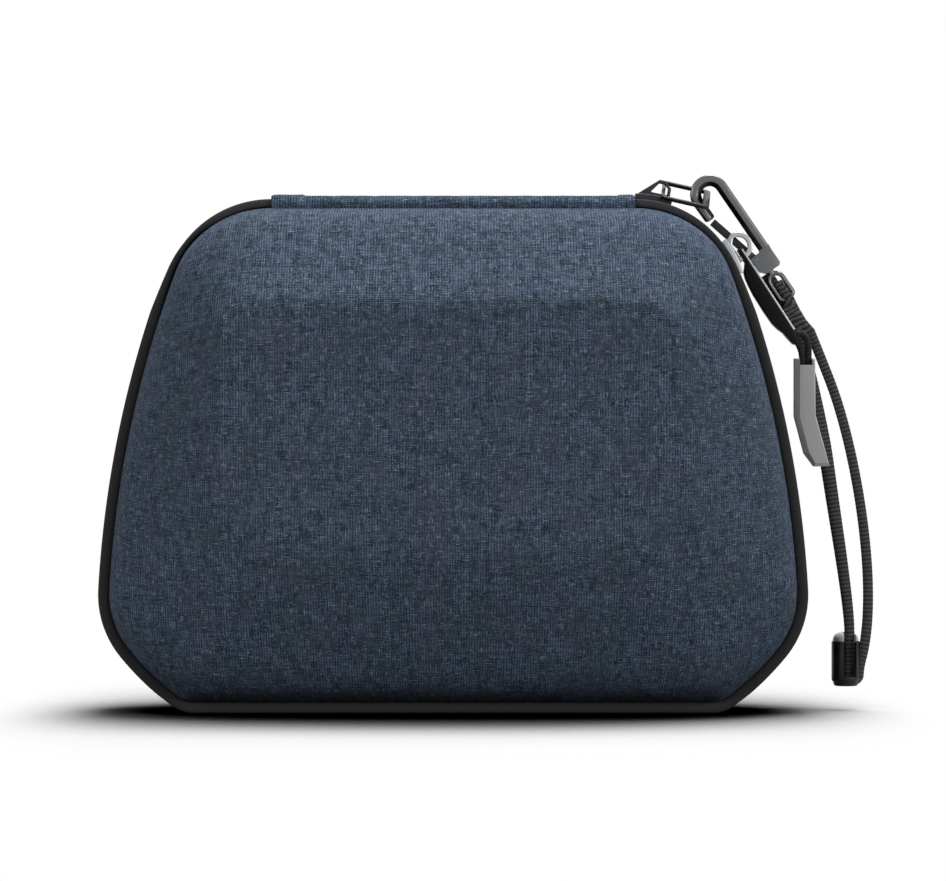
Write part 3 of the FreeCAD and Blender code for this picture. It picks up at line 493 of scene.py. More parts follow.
def round_edges(piece, radius, segments, sharper=35, smooth=32):
    """Rounds the edges sharper than an angle over, and smooths the faces between."""
    edge = piece.modifiers.new("round", "BEVEL")
    edge.width = radius * MM
    edge.segments = segments
    edge.limit_method = "ANGLE"
    edge.angle_limit = math.radians(sharper)
    select_only(piece)
    bpy.ops.object.modifier_apply(modifier="round")
    bpy.ops.object.shade_smooth_by_angle(angle=math.radians(smooth))


def rounded_copy(node, name, radius, body, slot, material, segments=3):
    """A piece in its solid's own form, with its edges rounded over."""
    piece = merged_copy(node, name)
    round_edges(piece, radius, segments)
    piece.data.materials.clear()
    piece.data.materials.append(material)
    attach(piece, body)
    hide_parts(node)


elastic, tree, shader = finish("elastic_black", (0.014, 0.014, 0.016), 0.8)
place = put(tree, "ShaderNodeTexCoord").outputs["Object"]
values = {"Vector": place, "Scale": 210.0, "Distortion": 0.2}
ribs = put(tree, "ShaderNodeTexWave", values, bands_direction="X")
bump(tree, shader, ribs.outputs[1], 0.0002)
rounded_copy("holding_band", "elastic_band", 0.3, "back_half", "elastic_black", elastic, 2)
rounded_copy("pocket_hem", "elastic_hem", 0.3, "front_half", "elastic_black", elastic, 2)

# Pocket: a knotted nylon net in the lower part of the front half. Its threads run
# aslant both ways, pass over and under each other and end in the hem and the lining.
NET_PITCH, NET_THREAD, NET_DEPTH = 3.4, 0.28, -10.4
NET_LOW, NET_TOP, NET_HEM = 2.0, 62.4, 64.0
NET_REACH, NET_STEP, NET_OVER = 170, 0.4, 0.22
SHORTEST_THREAD = 4


def moulded(name, colour, roughness, specular=None):
    """Moulded plastic or rubber with a fine grain."""
    material, tree, shader = finish(name, colour, roughness, specular=specular)
    noise = fine_noise(tree, 900.0, 3.0)
    bump(tree, shader, noise, 0.00003, 0.6)
    rough = scaled(tree, noise, 0.0, 1.0, roughness - 0.08, roughness + 0.08)
    tree.links.new(rough, shader.inputs["Roughness"])
    return material


pocket_edge = mirrored_loop(rim_side(PIPING_HEIGHT + SHELL_WALL + 0.1))


def inside_pocket(x, z):
    """Whether a place in the net's plane is inside the moulded rim, below the hem."""
    if z > NET_TOP:
        return False
    after = np.roll(pocket_edge, -1, axis=0)
    crosses = (pocket_edge[:, 1] > z) != (after[:, 1] > z)
    rise = np.where(crosses, after[:, 1] - pocket_edge[:, 1], 1.0)
    at = pocket_edge[:, 0] + (z - pocket_edge[:, 1]) / rise * (after[:, 0] - pocket_edge[:, 0])
    return bool(np.sum(crosses & (x < at)) % 2)


def net_thread(net, start, slope):
    """One thread of the net, four-sided, with smooth sides and flat cut ends."""
    places = [(start + slope * z, z) for z in np.arange(NET_LOW, NET_HEM, NET_STEP)]
    places = [place for place in places if inside_pocket(*place)]
    if len(places) < SHORTEST_THREAD:
        return
    first, last = np.array(places[0]), np.array(places[-1])
    steps = max(2, int((last[1] - first[1]) / (NET_PITCH / 2)))
    aslant = NET_THREAD * 0.7071
    rows = []
    for share in np.linspace(0, 1, steps + 1):
        x, z = first + share * (last - first)
        over = NET_OVER * slope * math.cos(math.pi * 2 * (z - start * slope) / NET_PITCH)
        row = []
        for a, b in ((1, 0), (0, 1), (-1, 0), (0, -1)):
            y = NET_DEPTH + over + b * NET_THREAD * 0.8
            row.append(net.verts.new(Vector((x + a * aslant, y, z - slope * a * aslant)) * MM))
        rows.append(row)
    for low, high in zip(rows, rows[1:]):
        for k in range(4):
            side = net.faces.new((low[k], low[(k + 1) % 4], high[(k + 1) % 4], high[k]))
            side.smooth = True
    net.faces.new(rows[0])
    net.faces.new(rows[-1])


net = bmesh.new()
net.loops.layers.uv.verify()
for slope in (-1, 1):
    for start in np.arange(-NET_REACH, NET_REACH, NET_PITCH):
        net_thread(net, start, slope)
pocket = started("knotted_net", bpy.ops.mesh.primitive_cube_add, size=1)
write_mesh(net, pocket, smooth=False)
pocket.data.materials.append(moulded("net_nylon", (0.016, 0.016, 0.018), 0.6))
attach(pocket, "front_half")
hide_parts("pocket_net")

# Piping: black grosgrain binding, finely ribbed across, folded over the edge of each
# shell and sewn on all round. It is pressed flatter over the top, less so at the base.
PIPING_DEPTH = 2.6
PIPING_PITCH = 0.66
PIPING_RIB = 0.004
PIPING_OUT, PIPING_IN = 0.18, 0.55
PRESSED, PRESSED_FROM, PRESSED_OVER = 1.05, 102, 18
BASE_TOP, BASE_OVER = 6, 4
SLIM, SLIM_FROM, SLIM_OVER, SLIM_TO, SLIM_END = 0.5, 98, 10, 127, 5
half_high = PIPING_HEIGHT / 2
half_wide = PIPING_DEPTH / 2


def woven(name, colour, light, pitch, depth=0.00012, wander=0.35, specular=None):
    """Webbing or tape: ribs across at a pitch, along the second number of the UV map."""
    material, tree, shader = finish(name, colour, 0.85, specular=specular)
    uv = put(tree, "ShaderNodeTexCoord").outputs["UV"]
    values = {"Vector": uv, "Scale": 0.314 / pitch, "Distortion": wander, "Detail Scale": 1.5}
    ribs = put(tree, "ShaderNodeTexWave", values, bands_direction="Y")
    fibres = put(tree, "ShaderNodeTexNoise", {"Vector": uv, "Scale": 3.5, "Detail": 2.0})
    relief = maths(tree, "MULTIPLY_ADD", fibres.outputs[0], 0.45, ribs.outputs[1])
    tint = blend_colours(tree, scaled(tree, relief, 0.25, 1.25), colour, light)
    tree.links.new(tint, shader.inputs["Base Color"])
    bump(tree, shader, relief, depth)
    return material


def edge_line(inset, step):
    """Points all round the rim at even steps, in mm, with the outward direction at each."""
    fine = mirrored_loop(rim_side(inset, (60, 90, 40, 40, 16), 60, 80))
    closed = np.vstack([fine, fine[:1]])
    lengths = np.linalg.norm(np.diff(closed, axis=0), axis=1)
    along = np.concatenate([[0], np.cumsum(lengths)])
    count = int(round(along[-1] / step))
    at = np.arange(count) * along[-1] / count
    points = np.stack([np.interp(at, along, closed[:, k]) for k in (0, 1)], axis=1)
    aim = np.roll(points, -1, axis=0) - np.roll(points, 1, axis=0)
    aim = aim / np.linalg.norm(aim, axis=1)[:, None]
    return points, np.column_stack([-aim[:, 1], aim[:, 0]]), at


def band_mesh(name, points, outward, step, sections, depth):
    """A closed band round an outline. sections gives (out, along y) pairs for each point."""
    rings = []
    for (x, z), (out_x, out_z), section in zip(points, outward, sections):
        rings.append([
            Vector((x + out_x * out, depth + y, z + out_z * out)) * MM for out, y in section
        ])
    columns = range(len(sections[0]) + 1)
    uv_rows = [[(i * 0.6, j * step) for i in columns] for j in range(len(rings) + 1)]
    return rings_mesh(name, rings, uv_rows, around=True)


def squarish(angle, power):
    """A point on a rounded square that reaches 1 each way."""
    c, s = math.cos(angle), math.sin(angle)
    reach = (abs(c) ** power + abs(s) ** power) ** (-1 / power)
    return c * reach, s * reach


piping_cloth = woven(
    "black_piping", (0.046, 0.046, 0.047), (0.056, 0.056, 0.058), PIPING_PITCH, 0.000008,
    specular=0.02,
)
# Painted shade: the piping's colour is blended towards black low down, fading out higher up.
tree = piping_cloth.node_tree
base_colour = tree.nodes["Principled BSDF"].inputs["Base Color"]
place = put(tree, "ShaderNodeTexCoord").outputs["Object"]
height = put(tree, "ShaderNodeSeparateXYZ", {0: place}).outputs["Z"]
low_painted_shade = scaled(tree, height, 0.0, 0.030, 0.90, 0.28)
side_painted_shade = scaled(tree, height, 0.095, 0.125, 0.28, 0.0)
shade = maths(tree, "MINIMUM", low_painted_shade, side_painted_shade)
shaded = blend_colours(tree, shade, base_colour.links[0].from_socket, (0.001, 0.001, 0.001))
tree.links.new(shaded, base_colour)

piping_line, piping_out, piping_at = edge_line(half_high, PIPING_PITCH / 3)
across, height = piping_line.T
pressed = PRESSED * np.clip((height - PRESSED_FROM) / PRESSED_OVER, 0, 1)
pressed = pressed + PIPING_OUT * np.clip((BASE_TOP - height) / BASE_OVER, 0, 1)
slim = np.clip((height - SLIM_FROM) / SLIM_OVER, 0, 1)
slim = SLIM * slim * np.clip((SLIM_TO - height) / SLIM_END, 0, 1) * (across < 0)
piping_sections = []
for at, outer_less, inner_less in zip(piping_at, pressed, slim):
    rib = PIPING_RIB * (math.cos(2 * math.pi * at / PIPING_PITCH) - 1)
    section = []
    for turn in range(14):
        out, along = squarish(2 * math.pi * turn / 14, 3)
        reach = PIPING_OUT - outer_less if out > 0 else PIPING_IN - inner_less
        section.append(((half_high + reach + rib) * out, (half_wide + rib) * along))
    piping_sections.append(section)
piping_step = piping_at[1] - piping_at[0]
for name, side, node, body in (
    ("front_piping", -1, "front_binding", "front_half"),
    ("back_piping", 1, "back_binding", "back_half"),
):
    depth = side * (HALF_GAP + half_wide)
    piping = band_mesh(name, piping_line, piping_out, piping_step, piping_sections, depth)
    piping.data.materials.append(piping_cloth)
    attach(piping, body)
    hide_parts(node)

# Zip tape: a black herringbone strip along each half, woven of polyester and sewn on
# under the piping. It keeps the solid's own mesh and gets its weave here.
tape_cloth, tree, shader = finish("black_tape", (0.014, 0.014, 0.016), 0.9)
place = put(tree, "ShaderNodeTexCoord").outputs["Object"]
values = {"Vector": place, "Scale": 420.0, "Distortion": 2.0, "Detail Scale": 3.0}
cells = put(tree, "ShaderNodeTexWave", values, bands_direction="DIAGONAL").outputs[1]
tint = blend_colours(tree, cells, (0.008, 0.008, 0.009), (0.030, 0.030, 0.033))
tree.links.new(tint, shader.inputs["Base Color"])
bump(tree, shader, cells, 0.00008)
for name in ("back_zipper_tape", "front_zipper_tape"):
    nodes[name].data.materials.clear()
    nodes[name].data.materials.append(tape_cloth)

# Zip coil: nylon monofilament wound into teeth and sewn along the edge of each tape. The
# rows mesh half a pitch apart, and stand apart between the two sliders. None lie under
# the hinge strip.
TOOTH_PITCH = 1.15
TOOTH_THICK, TOOTH_WIDE, TOOTH_BEVEL = 0.86, 1.55, 0.14
TOOTH_DEPTH, PARTED = 0.95, 1.0
COIL_OUT, COIL_HIGH = 0.9, 1.9
OPEN_FROM, OPEN_TO = 29.8, 78.0
STRIP_HALF, STRIP_COVER = 46.4, 4
coil_nylon, tree, shader = finish("black_nylon", (0.016, 0.016, 0.018), 0.38)
bump(tree, shader, fine_noise(tree, 900.0, 2.0), 0.00003, 0.5)
tooth_line, tooth_out, _ = edge_line(COIL_OUT + COIL_HIGH / 2, TOOTH_PITCH)


def is_parted(x, z):
    """Whether a place on the rim lies between the two sliders."""
    angle = math.degrees(math.atan2(z - (RIM_TOP - RIM_TURNS[0][0]), x - CORNER_X))
    return OPEN_FROM < angle < OPEN_TO and x > CORNER_X


for name, side, node, body in (
    ("front_coil_teeth", -1, "front_zipper_coil", "front_half"),
    ("back_coil_teeth", 1, "back_zipper_coil", "back_half"),
):
    tooth = started(
        name, bpy.ops.mesh.primitive_cylinder_add, vertices=8, radius=0.5, depth=1.0
    )
    bpy.ops.object.mode_set(mode="EDIT")
    bpy.ops.mesh.select_all(action="SELECT")
    bpy.ops.mesh.bevel(offset=TOOTH_BEVEL, segments=1, affect="EDGES")
    bpy.ops.object.mode_set(mode="OBJECT")
    form = bmesh.new()
    form.from_mesh(tooth.data)
    row = bmesh.new()
    phase = 0.5 if side > 0 else 0.0
    following = np.roll(tooth_line, -1, axis=0)
    for (x, z), (next_x, next_z), (out_x, out_z) in zip(tooth_line, following, tooth_out):
        if z > RIM_TOP - STRIP_COVER and abs(x) < STRIP_HALF:
            continue
        depth = side * (TOOTH_DEPTH + PARTED * is_parted(x, z))
        x, z = x + (next_x - x) * phase, z + (next_z - z) * phase
        made = {}
        for vert in form.verts:
            thick = vert.co.x * TOOTH_THICK
            high = vert.co.y * (COIL_HIGH - 0.1)
            y = depth + vert.co.z * TOOTH_WIDE
            spot = (x + out_z * thick + out_x * high, y, z - out_x * thick + out_z * high)
            made[vert] = row.verts.new(Vector(spot) * MM)
        for face in form.faces:
            row.faces.new([made[v] for v in face.verts])
    form.free()
    write_mesh(row, tooth)
    tooth.data.materials.append(coil_nylon)
    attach(tooth, body)
    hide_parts(node)

# Hinge strip: the shells' own cloth, folded in at its edges and stitched over both
# rows of piping along the top. It stands a little higher near its two ends, where the
# cloth is folded twice.
STRIP_THICK = 0.42
STRIP_STEPS = 117
END_FOLD, LEFT_FOLD, RIGHT_FOLD = 0.30, 11, 6
STRIP_RIPPLE = 0.05
CLOTH_SHIFT = 200
strip_across = [
    (-10.3, -3.6), (-11.0, -3.5), (-11.4, -3.1), (-11.5, -2.5), (-11.4, -1.8), (-11.1, -1.2),
    (-10.6, -0.6), (-9.9, -0.15), (-8.8, 0.05), (-6.0, 0.1), (-3.0, 0.1), (0.0, 0.1),
]
strip_across += [(-y, z) for y, z in reversed(strip_across[:-1])]
strip_across = softened(np.array(strip_across), 1)
lengths = np.linalg.norm(np.diff(strip_across, axis=0), axis=1)
run = np.concatenate([[0], np.cumsum(lengths)])
form = bmesh.new()
layer = form.loops.layers.uv.verify()
rows = []
for step in range(STRIP_STEPS + 1):
    x = STRIP_HALF * (2 * step / STRIP_STEPS - 1)
    edge = min(step, STRIP_STEPS - step)
    folded = 0 < edge < (LEFT_FOLD if step == edge else RIGHT_FOLD)
    row = []
    for y, z in strip_across:
        ripple = STRIP_RIPPLE * math.sin(x * 0.9 + y) * math.cos(x * 0.31)
        lift = END_FOLD * (folded and z > -1)
        row.append(form.verts.new(Vector((x, y, RIM_TOP + z + lift + ripple)) * MM))
    rows.append(row)
for step, (row, after) in enumerate(zip(rows, rows[1:])):
    for k in range(len(row) - 1):
        face = form.faces.new((row[k], row[k + 1], after[k + 1], after[k]))
        corners = ((step, k), (step, k + 1), (step + 1, k + 1), (step + 1, k))
        for loop, (i, j) in zip(face.loops, corners):
            loop[layer].uv = (STRIP_HALF * (2 * i / STRIP_STEPS - 1), run[j] + CLOTH_SHIFT)
bmesh.ops.recalc_face_normals(form, faces=form.faces)
if form.faces[:][len(strip_across) // 2].normal.z < 0:
    bmesh.ops.reverse_faces(form, faces=form.faces)
strip = started("hinge_cloth", bpy.ops.mesh.primitive_grid_add, x_subdivisions=2, y_subdivisions=2)
form.to_mesh(strip.data)
form.free()
for polygon in strip.data.polygons:
    polygon.use_smooth = True
solid = strip.modifiers.new("cloth", "SOLIDIFY")
solid.thickness = STRIP_THICK * MM
solid.offset = -1
select_only(strip)
bpy.ops.object.modifier_apply(modifier="cloth")
strip.data.materials.append(denim_cloth)
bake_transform(strip)
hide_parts("spine_strip")


# Sliders, frame, gate and rivet: die cast or stamped metal, tumbled so that every edge
# is rounded, then plated. Each is the solid's own form with its edges rounded over.
def metal(name, colour, roughness, scratch=0.12):
    """Plated metal with faint handling marks."""
    material, tree, shader = finish(name, colour, roughness, 1.0)
    rub = fine_noise(tree, 380.0, 4.0)
    rough = scaled(tree, rub, 0.0, 1.0, roughness - scratch, roughness + scratch)
    tree.links.new(rough, shader.inputs["Roughness"])
    bump(tree, shader, rub, 0.00002, 0.35)
    return material


gunmetal = metal("gunmetal", (0.115, 0.118, 0.124), 0.34)
# A darker copy of the gunmetal: the finish of the frame pull and the gate, and painted shade on
# the inner sides of the hook's bar.
dark_gunmetal_and_painted_shade = metal("dark_gunmetal_and_painted_shade", (0.030, 0.031, 0.033), 0.30)
dark_zinc = metal("dark_zinc", (0.035, 0.036, 0.038), 0.36)
silver_zinc = metal("silver_zinc", (0.36, 0.37, 0.38), 0.30, 0.08)
for part, slot, material in (
    ("upper_slider", "dark_zinc", dark_zinc), ("lower_slider", "silver_zinc", silver_zinc)
):
    rounded_copy(part + "_body", part + "_casting", 0.22, part, slot, material)
    rounded_copy(part + "_bridge", part + "_bow", 0.25, part, slot, material)
rounded_copy("upper_pull", "frame_pull", 0.32, "upper_pull", "gunmetal", dark_gunmetal_and_painted_shade)
rounded_copy("hook_gate", "snap_gate", 0.30, "gate", "gunmetal", dark_gunmetal_and_painted_shade)
rounded_copy("gate_pin", "gate_rivet", 0.10, "hook", "gunmetal", gunmetal)

# Snap hook: one zinc casting, a flattened bar curled round the end bar of the frame and
# running down to a square foot, which holds the gate's pin and the swivel. Places on it
# are p down the hook and q towards its outer side, from where it hangs.
HOOK_PIVOT = (65.4907, 4.3, 133.1265)
HOOK_TILT = 55.5
CURL_P, CURL_Q, CURL_RADIUS = 0.4, 0.65, 3.65
HOOK_NOSE, FOOT_FROM, BAR_END = 6.0, 19.6, 20.6
NOSE_LEAN, NOSE_THINNER = 0.10, 0.08
NOSE_TIP = ((0.0, 0.55), (0.12, 0.80), (0.32, 0.95), (0.6, 1.0))
BAR_SECTION = [
    (1.46, -0.43), (1.38, -0.82), (1.14, -1.06), (0.80, -1.13), (0.10, -1.13), (-0.34, -1.09),
    (-0.62, -0.94), (-1.30, -0.40), (-1.48, -0.20),
]
BAR_SECTION += [(a, -b) for a, b in reversed(BAR_SECTION)]
PAINTED_SHADE_SIDES = range(5, 12)


def along_chain(pivot, tilt):
    """The directions down and out of a hanging piece, and a function for places on it."""
    turn = math.radians(tilt)
    down = np.array([math.cos(turn), 0, -math.sin(turn)])
    out = np.array([math.sin(turn), 0, math.cos(turn)])

    def place(p, q, y=0.0):
        return Vector((np.array(pivot) + p * down + q * out + np.array([0, y, 0])) * MM)

    return down, out, place


def hook_stations():
    """Places along the bar, with the direction across it away from the curl and its scale."""
    stations = []
    for index, share in enumerate(np.linspace(1, 0, 9)[:-1]):
        p = CURL_P + share * (HOOK_NOSE - CURL_P)
        scale = 1 - NOSE_THINNER * share
        fade = 1.0
        if index < len(NOSE_TIP):
            p, fade = HOOK_NOSE - NOSE_TIP[index][0], NOSE_TIP[index][1]
        stations.append((p, CURL_Q - CURL_RADIUS + NOSE_LEAN * share, (0, -1), scale, fade))
    for angle in np.linspace(270, 90, 33):
        c, s = heading(angle)
        p, q = CURL_P + CURL_RADIUS * c, CURL_Q + CURL_RADIUS * s
        stations.append((p, q, (c, s), 1, 1.0))
    for p in np.linspace(CURL_P, BAR_END, 15)[1:]:
        stations.append((p, CURL_Q + CURL_RADIUS, (0, 1), 1, 1.0))
    return stations


hook_down, hook_out, hook_point = along_chain(HOOK_PIVOT, HOOK_TILT)
rings = []
uv_rows = []
for index, (p, q, (across_p, across_q), scale, fade) in enumerate(hook_stations()):
    ring = []
    for a, b in BAR_SECTION:
        wide = a * scale * fade
        ring.append(hook_point(p + across_p * wide, q + across_q * wide, b * fade))
    rings.append(ring)
    uv_rows.append([(float(k), index * 0.5) for k in range(len(BAR_SECTION) + 1)])
hook_bar = rings_mesh("snap_hook", rings, uv_rows)
hook_bar.data.materials.append(gunmetal)
hook_bar.data.materials.append(dark_gunmetal_and_painted_shade)
# Painted shade: the bar's inner sides take the darker copy of the gunmetal.
for index, polygon in enumerate(hook_bar.data.polygons):
    along_bar = index < len(BAR_SECTION) * (len(rings) - 1)
    polygon.material_index = int(along_bar and index % len(BAR_SECTION) in PAINTED_SHADE_SIDES)
select_only(hook_bar)
bpy.ops.object.shade_smooth_by_angle(angle=math.radians(34))
foot = merged_copy("hook_body", "snap_hook_foot", (hook_point(FOOT_FROM, 0), tuple(hook_down)))
round_edges(foot, 0.8, 4)
foot.data.materials.clear()
foot.data.materials.append(gunmetal)
select_only(hook_bar, foot)
bpy.ops.object.join()
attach(hook_bar, "hook")
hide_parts("hook_body")

# Swivel: a bent wire eye on a headed post, cast with it, that turns in the hook's foot.
# The eye is round at the post and squared at its end, where the strap goes through.
SWIVEL_Q, POST_P, POST_RADIUS, POST_LENGTH = 2.3, 24.6, 0.9, 4.0
EYE_TOP, EYE_END, EYE_HALF, EYE_WIRE, EYE_CORNER = 25.95, 34.35, 2.5, 0.62, 0.9
WIRE_SIDES = 12
eye_side = EYE_HALF - EYE_WIRE
eye_arcs = [
    (EYE_TOP + EYE_HALF, SWIVEL_Q, eye_side, np.linspace(90, 270, 17)),
    (EYE_END - EYE_WIRE - EYE_CORNER, SWIVEL_Q - (eye_side - EYE_CORNER), EYE_CORNER,
     np.linspace(270, 360, 7)),
    (EYE_END - EYE_WIRE - EYE_CORNER, SWIVEL_Q + (eye_side - EYE_CORNER), EYE_CORNER,
     np.linspace(360, 450, 7)),
]
eye_places = []
eye_away = []
for middle_p, middle_q, radius, angles in eye_arcs:
    for c, s in (heading(angle) for angle in angles):
        place = hook_point(middle_p + radius * c, middle_q + radius * s) / MM
        eye_places.append((place.x, place.z))
        away = c * hook_down + s * hook_out
        eye_away.append((away[0], away[2]))
wire = [
    (EYE_WIRE * math.cos(turn), 1.25 * EYE_WIRE * math.sin(turn))
    for turn in np.linspace(0, 2 * math.pi, WIRE_SIDES + 1)[:-1]
]
swivel_ring = band_mesh(
    "swivel_ring", eye_places, eye_away, 0.5, [wire] * len(eye_places), HOOK_PIVOT[1]
)
post = started(
    "post",
    bpy.ops.mesh.primitive_cylinder_add,
    vertices=20,
    radius=POST_RADIUS * MM,
    depth=POST_LENGTH * MM,
    location=hook_point(POST_P, SWIVEL_Q),
    rotation=(0, math.radians(90 + HOOK_TILT), 0),
)
select_only(swivel_ring, post)
bpy.ops.object.join()
swivel_ring.data.materials.append(gunmetal)
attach(swivel_ring, "swivel")
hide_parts("swivel_eye")

# Wrist strap: flat black webbing, woven with cross ribs, one loop sewn into the swivel
# eye above. It hangs down, goes through the stopper, folds at the bottom and comes back.
STRAP_PLANE = 4.3
STRAP_ROUTE = [
    (89.7, 96.6), (92.6, 84.1), (95.7, 69.5), (98.0, 53.9), (100.5, 37.7),
    (102.3, 23.6), (102.4, 16.0), (102.2, 11.0), (102.2, 7.7),
    (104.8, 7.7), (104.9, 11.0), (106.2, 16.0), (107.2, 24.6), (107.1, 36.7),
    (105.5, 51.9), (102.7, 67.0), (99.2, 80.1), (95.3, 90.2), (92.1, 98.0),
]
WEBBING_PITCH, WEBBING_RIB, WEBBING_THICK = 1.05 * MM, 0.05 * MM, 1.5 * MM
WIDTHS_AT = (0.0, 0.06, 0.16, 0.30, 0.44, 0.50, 0.56, 0.75, 1.0)
WIDTHS = (2.5, 3.4, 3.6, 3.1, 2.5, 2.5, 2.7, 2.6, 2.6)
WEBBING_SECTION = [(1, 0.35), (0.82, 0.9), (0, 1.0), (-0.82, 0.9)]
WEBBING_SECTION += [(-a, -b) for a, b in WEBBING_SECTION]


def route_line(name, points, depth):
    """The smooth line of a cord's route, as points read from its NURBS spline."""
    curve = bpy.data.curves.new(name, "CURVE")
    curve.dimensions = "3D"
    spline = curve.splines.new("NURBS")
    spline.points.add(len(points) - 1)
    for knot, (x, z) in zip(spline.points, points):
        knot.co = (x * MM, depth * MM, z * MM, 1)
    spline.order_u = 3
    spline.use_endpoint_u = True
    spline.resolution_u = 24
    carrier = bpy.data.objects.new(name, curve)
    bpy.context.scene.collection.objects.link(carrier)
    mesh = bpy.data.meshes.new_from_object(carrier)
    line = np.array([v.co for v in mesh.vertices])
    bpy.data.objects.remove(carrier)
    return line


def stepped(line, step):
    """Places at even steps along a line, with the direction across and the distance run."""
    lengths = np.linalg.norm(np.diff(line, axis=0), axis=1)
    along = np.concatenate([[0], np.cumsum(lengths)])
    at = np.linspace(0, along[-1], max(2, int(round(along[-1] / step)) + 1))
    places = np.stack([np.interp(at, along, line[:, k]) for k in range(3)], axis=1)
    aim = np.vstack([places[1:], places[-1:]]) - np.vstack([places[:1], places[:-1]])
    aim = aim / np.linalg.norm(aim, axis=1)[:, None]
    across = np.column_stack([aim[:, 2], np.zeros(len(aim)), -aim[:, 0]])
    return places, across, at


strap_line = route_line("strap_route", STRAP_ROUTE, STRAP_PLANE)
strap_places, strap_across, strap_at = stepped(strap_line, 0.25 * MM)
strap_total = strap_at[-1]
rings = []
uv_rows = []
for point, across, at in zip(strap_places, strap_across, strap_at):
    wide = float(np.interp(at / strap_total, WIDTHS_AT, WIDTHS)) * MM
    rib = WEBBING_RIB * math.cos(2 * math.pi * at / WEBBING_PITCH)
    half = wide / 2 + rib * 0.4
    deep = WEBBING_THICK / 2 + rib * 0.5
    rings.append([
        Vector(point + across * half * a + np.array([0, deep * b, 0])) for a, b in WEBBING_SECTION
    ])
    turns = np.linspace(0, 2 * (wide + WEBBING_THICK) / MM, len(WEBBING_SECTION) + 1)
    uv_rows.append([(u, at / MM) for u in turns])
strap = rings_mesh("wrist_strap", rings, uv_rows)
strap.data.materials.append(
    woven("black_webbing", (0.022, 0.022, 0.023), (0.080, 0.080, 0.082), WEBBING_PITCH / MM)
)
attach(strap, "strap")
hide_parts("lanyard_strap")

# Sewn end of the strap: the webbing folded back through the eye and stitched flat, with
# the cut end standing behind. A row of sides is p, both edges in q, and half the depth.
WRAP_SIDES = [
    (28.9, 1.25, 3.35, 0.80), (29.2, 1.10, 3.50, 1.05), (31.5, 1.05, 3.55, 1.15),
    (34.4, 1.00, 3.55, 1.25), (35.2, -0.6, 3.45, 1.35), (36.0, -1.6, 3.30, 1.40),
    (38.0, -1.9, 3.05, 1.40), (41.0, -1.9, 2.85, 1.35), (43.3, -2.0, 3.10, 1.20),
    (44.2, -2.1, 3.25, 0.95),
]
WRAP_RIB, WRAP_STEPS, WRAP_COUNT = 0.02, 90, 16
TAIL_FROM, TAIL_TO, TAIL_STEPS, TAIL_SHOULDER = 25.6, 38.0, 40, 27
TAIL_END_HALF, TAIL_HALF, TAIL_Q, TAIL_Y = 1.6, 2.35, 0.35, 1.42
TAIL_SECTION = [(-1, 0.3), (-1, -0.3), (1, -0.3), (1, 0.3)]
stations = np.array(WRAP_SIDES)
rings = []
uv_rows = []
for p in np.linspace(stations[0, 0], stations[-1, 0], WRAP_STEPS):
    low, high, deep = (np.interp(p, stations[:, 0], stations[:, k]) for k in (1, 2, 3))
    rib = WRAP_RIB * math.cos(2 * math.pi * p / (WEBBING_PITCH / MM))
    half, middle = (high - low) / 2 + rib * 0.5, (high + low) / 2
    ring = []
    for turn in range(WRAP_COUNT):
        wide, thick = squarish(2 * math.pi * turn / WRAP_COUNT, 4)
        ring.append(hook_point(p, middle + half * wide, (deep + rib) * thick))
    rings.append(ring)
    uv_rows.append([(turn * 0.6, p) for turn in range(WRAP_COUNT + 1)])
sewn_end = rings_mesh("sewn_strap_end", rings, uv_rows)
rings = []
uv_rows = []
for p in np.linspace(TAIL_FROM, TAIL_TO, TAIL_STEPS):
    half = TAIL_HALF if p > TAIL_SHOULDER else TAIL_END_HALF
    rings.append([hook_point(p, TAIL_Q + half * a, TAIL_Y + b) for a, b in TAIL_SECTION])
    uv_rows.append([(k * 1.7, p + 3) for k in range(5)])
tail = rings_mesh("sewn_tail", rings, uv_rows)
select_only(sewn_end, tail)
bpy.ops.object.join()
sewn_end.data.materials.append(
    woven("sewn_webbing", (0.010, 0.010, 0.010), (0.085, 0.085, 0.082), 1.3, wander=7.0)
)
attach(sewn_end, "strap")
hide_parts("lanyard_wrap")

# Stopper: a black moulded barrel, grooved in front and open at one side for the strap,
# on a foot ring. Its grey dome is the button that frees the strap.
STOPPER_X, STOPPER_Y, STOPPER_FOOT, STOPPER_HIGH, STOPPER_RADIUS = 101.4, 4.3, 6.2, 11.6, 3.7
STOPPER_SIDES = 48
GROOVE, GROOVE_DEEP = (100.7, 103.9), (-5, 1.0)
SIDE_SLOT, SIDE_SLOT_HALF = (101.2, 108), 1.1
WELL_RADIUS, WELL_DEEP = 3.42, 1.2
FOOT_PROFILE = [
    (2.6, 0.0), (2.95, 0.12), (3.15, 0.45), (3.25, 1.0), (3.45, 1.25), (3.62, 1.5),
    (STOPPER_RADIUS, 1.9),
]
TOP_PROFILE = [(STOPPER_RADIUS, -0.4), (3.66, -0.1), (3.55, 0.0)]
DOME_PROFILE = [
    (3.3, -0.4), (3.36, 0.2), (3.3, 0.8), (3.1, 1.3), (2.7, 1.8), (2.0, 2.15), (1.0, 2.32),
    (0.3, 2.36),
]
foot_z = STOPPER_FOOT
barrel_top = STOPPER_FOOT + STOPPER_HIGH


def turned(name, profile, start):
    """A round piece on the stopper's axis, from radius and height pairs above a start."""
    rings = []
    uv_rows = []
    angles = np.linspace(0, 2 * math.pi, STOPPER_SIDES + 1)
    for radius, rise in profile:
        ring = []
        for a in angles[:-1]:
            x, y = STOPPER_X + radius * math.cos(a), STOPPER_Y + radius * math.sin(a)
            ring.append(Vector((x, y, start + rise)) * MM)
        rings.append(ring)
        uv_rows.append([(float(a) * radius, start + rise) for a in angles])
    return rings_mesh(name, rings, uv_rows)


def flat_point(x, z, y=0.0):
    return Vector((x, y, z)) * MM


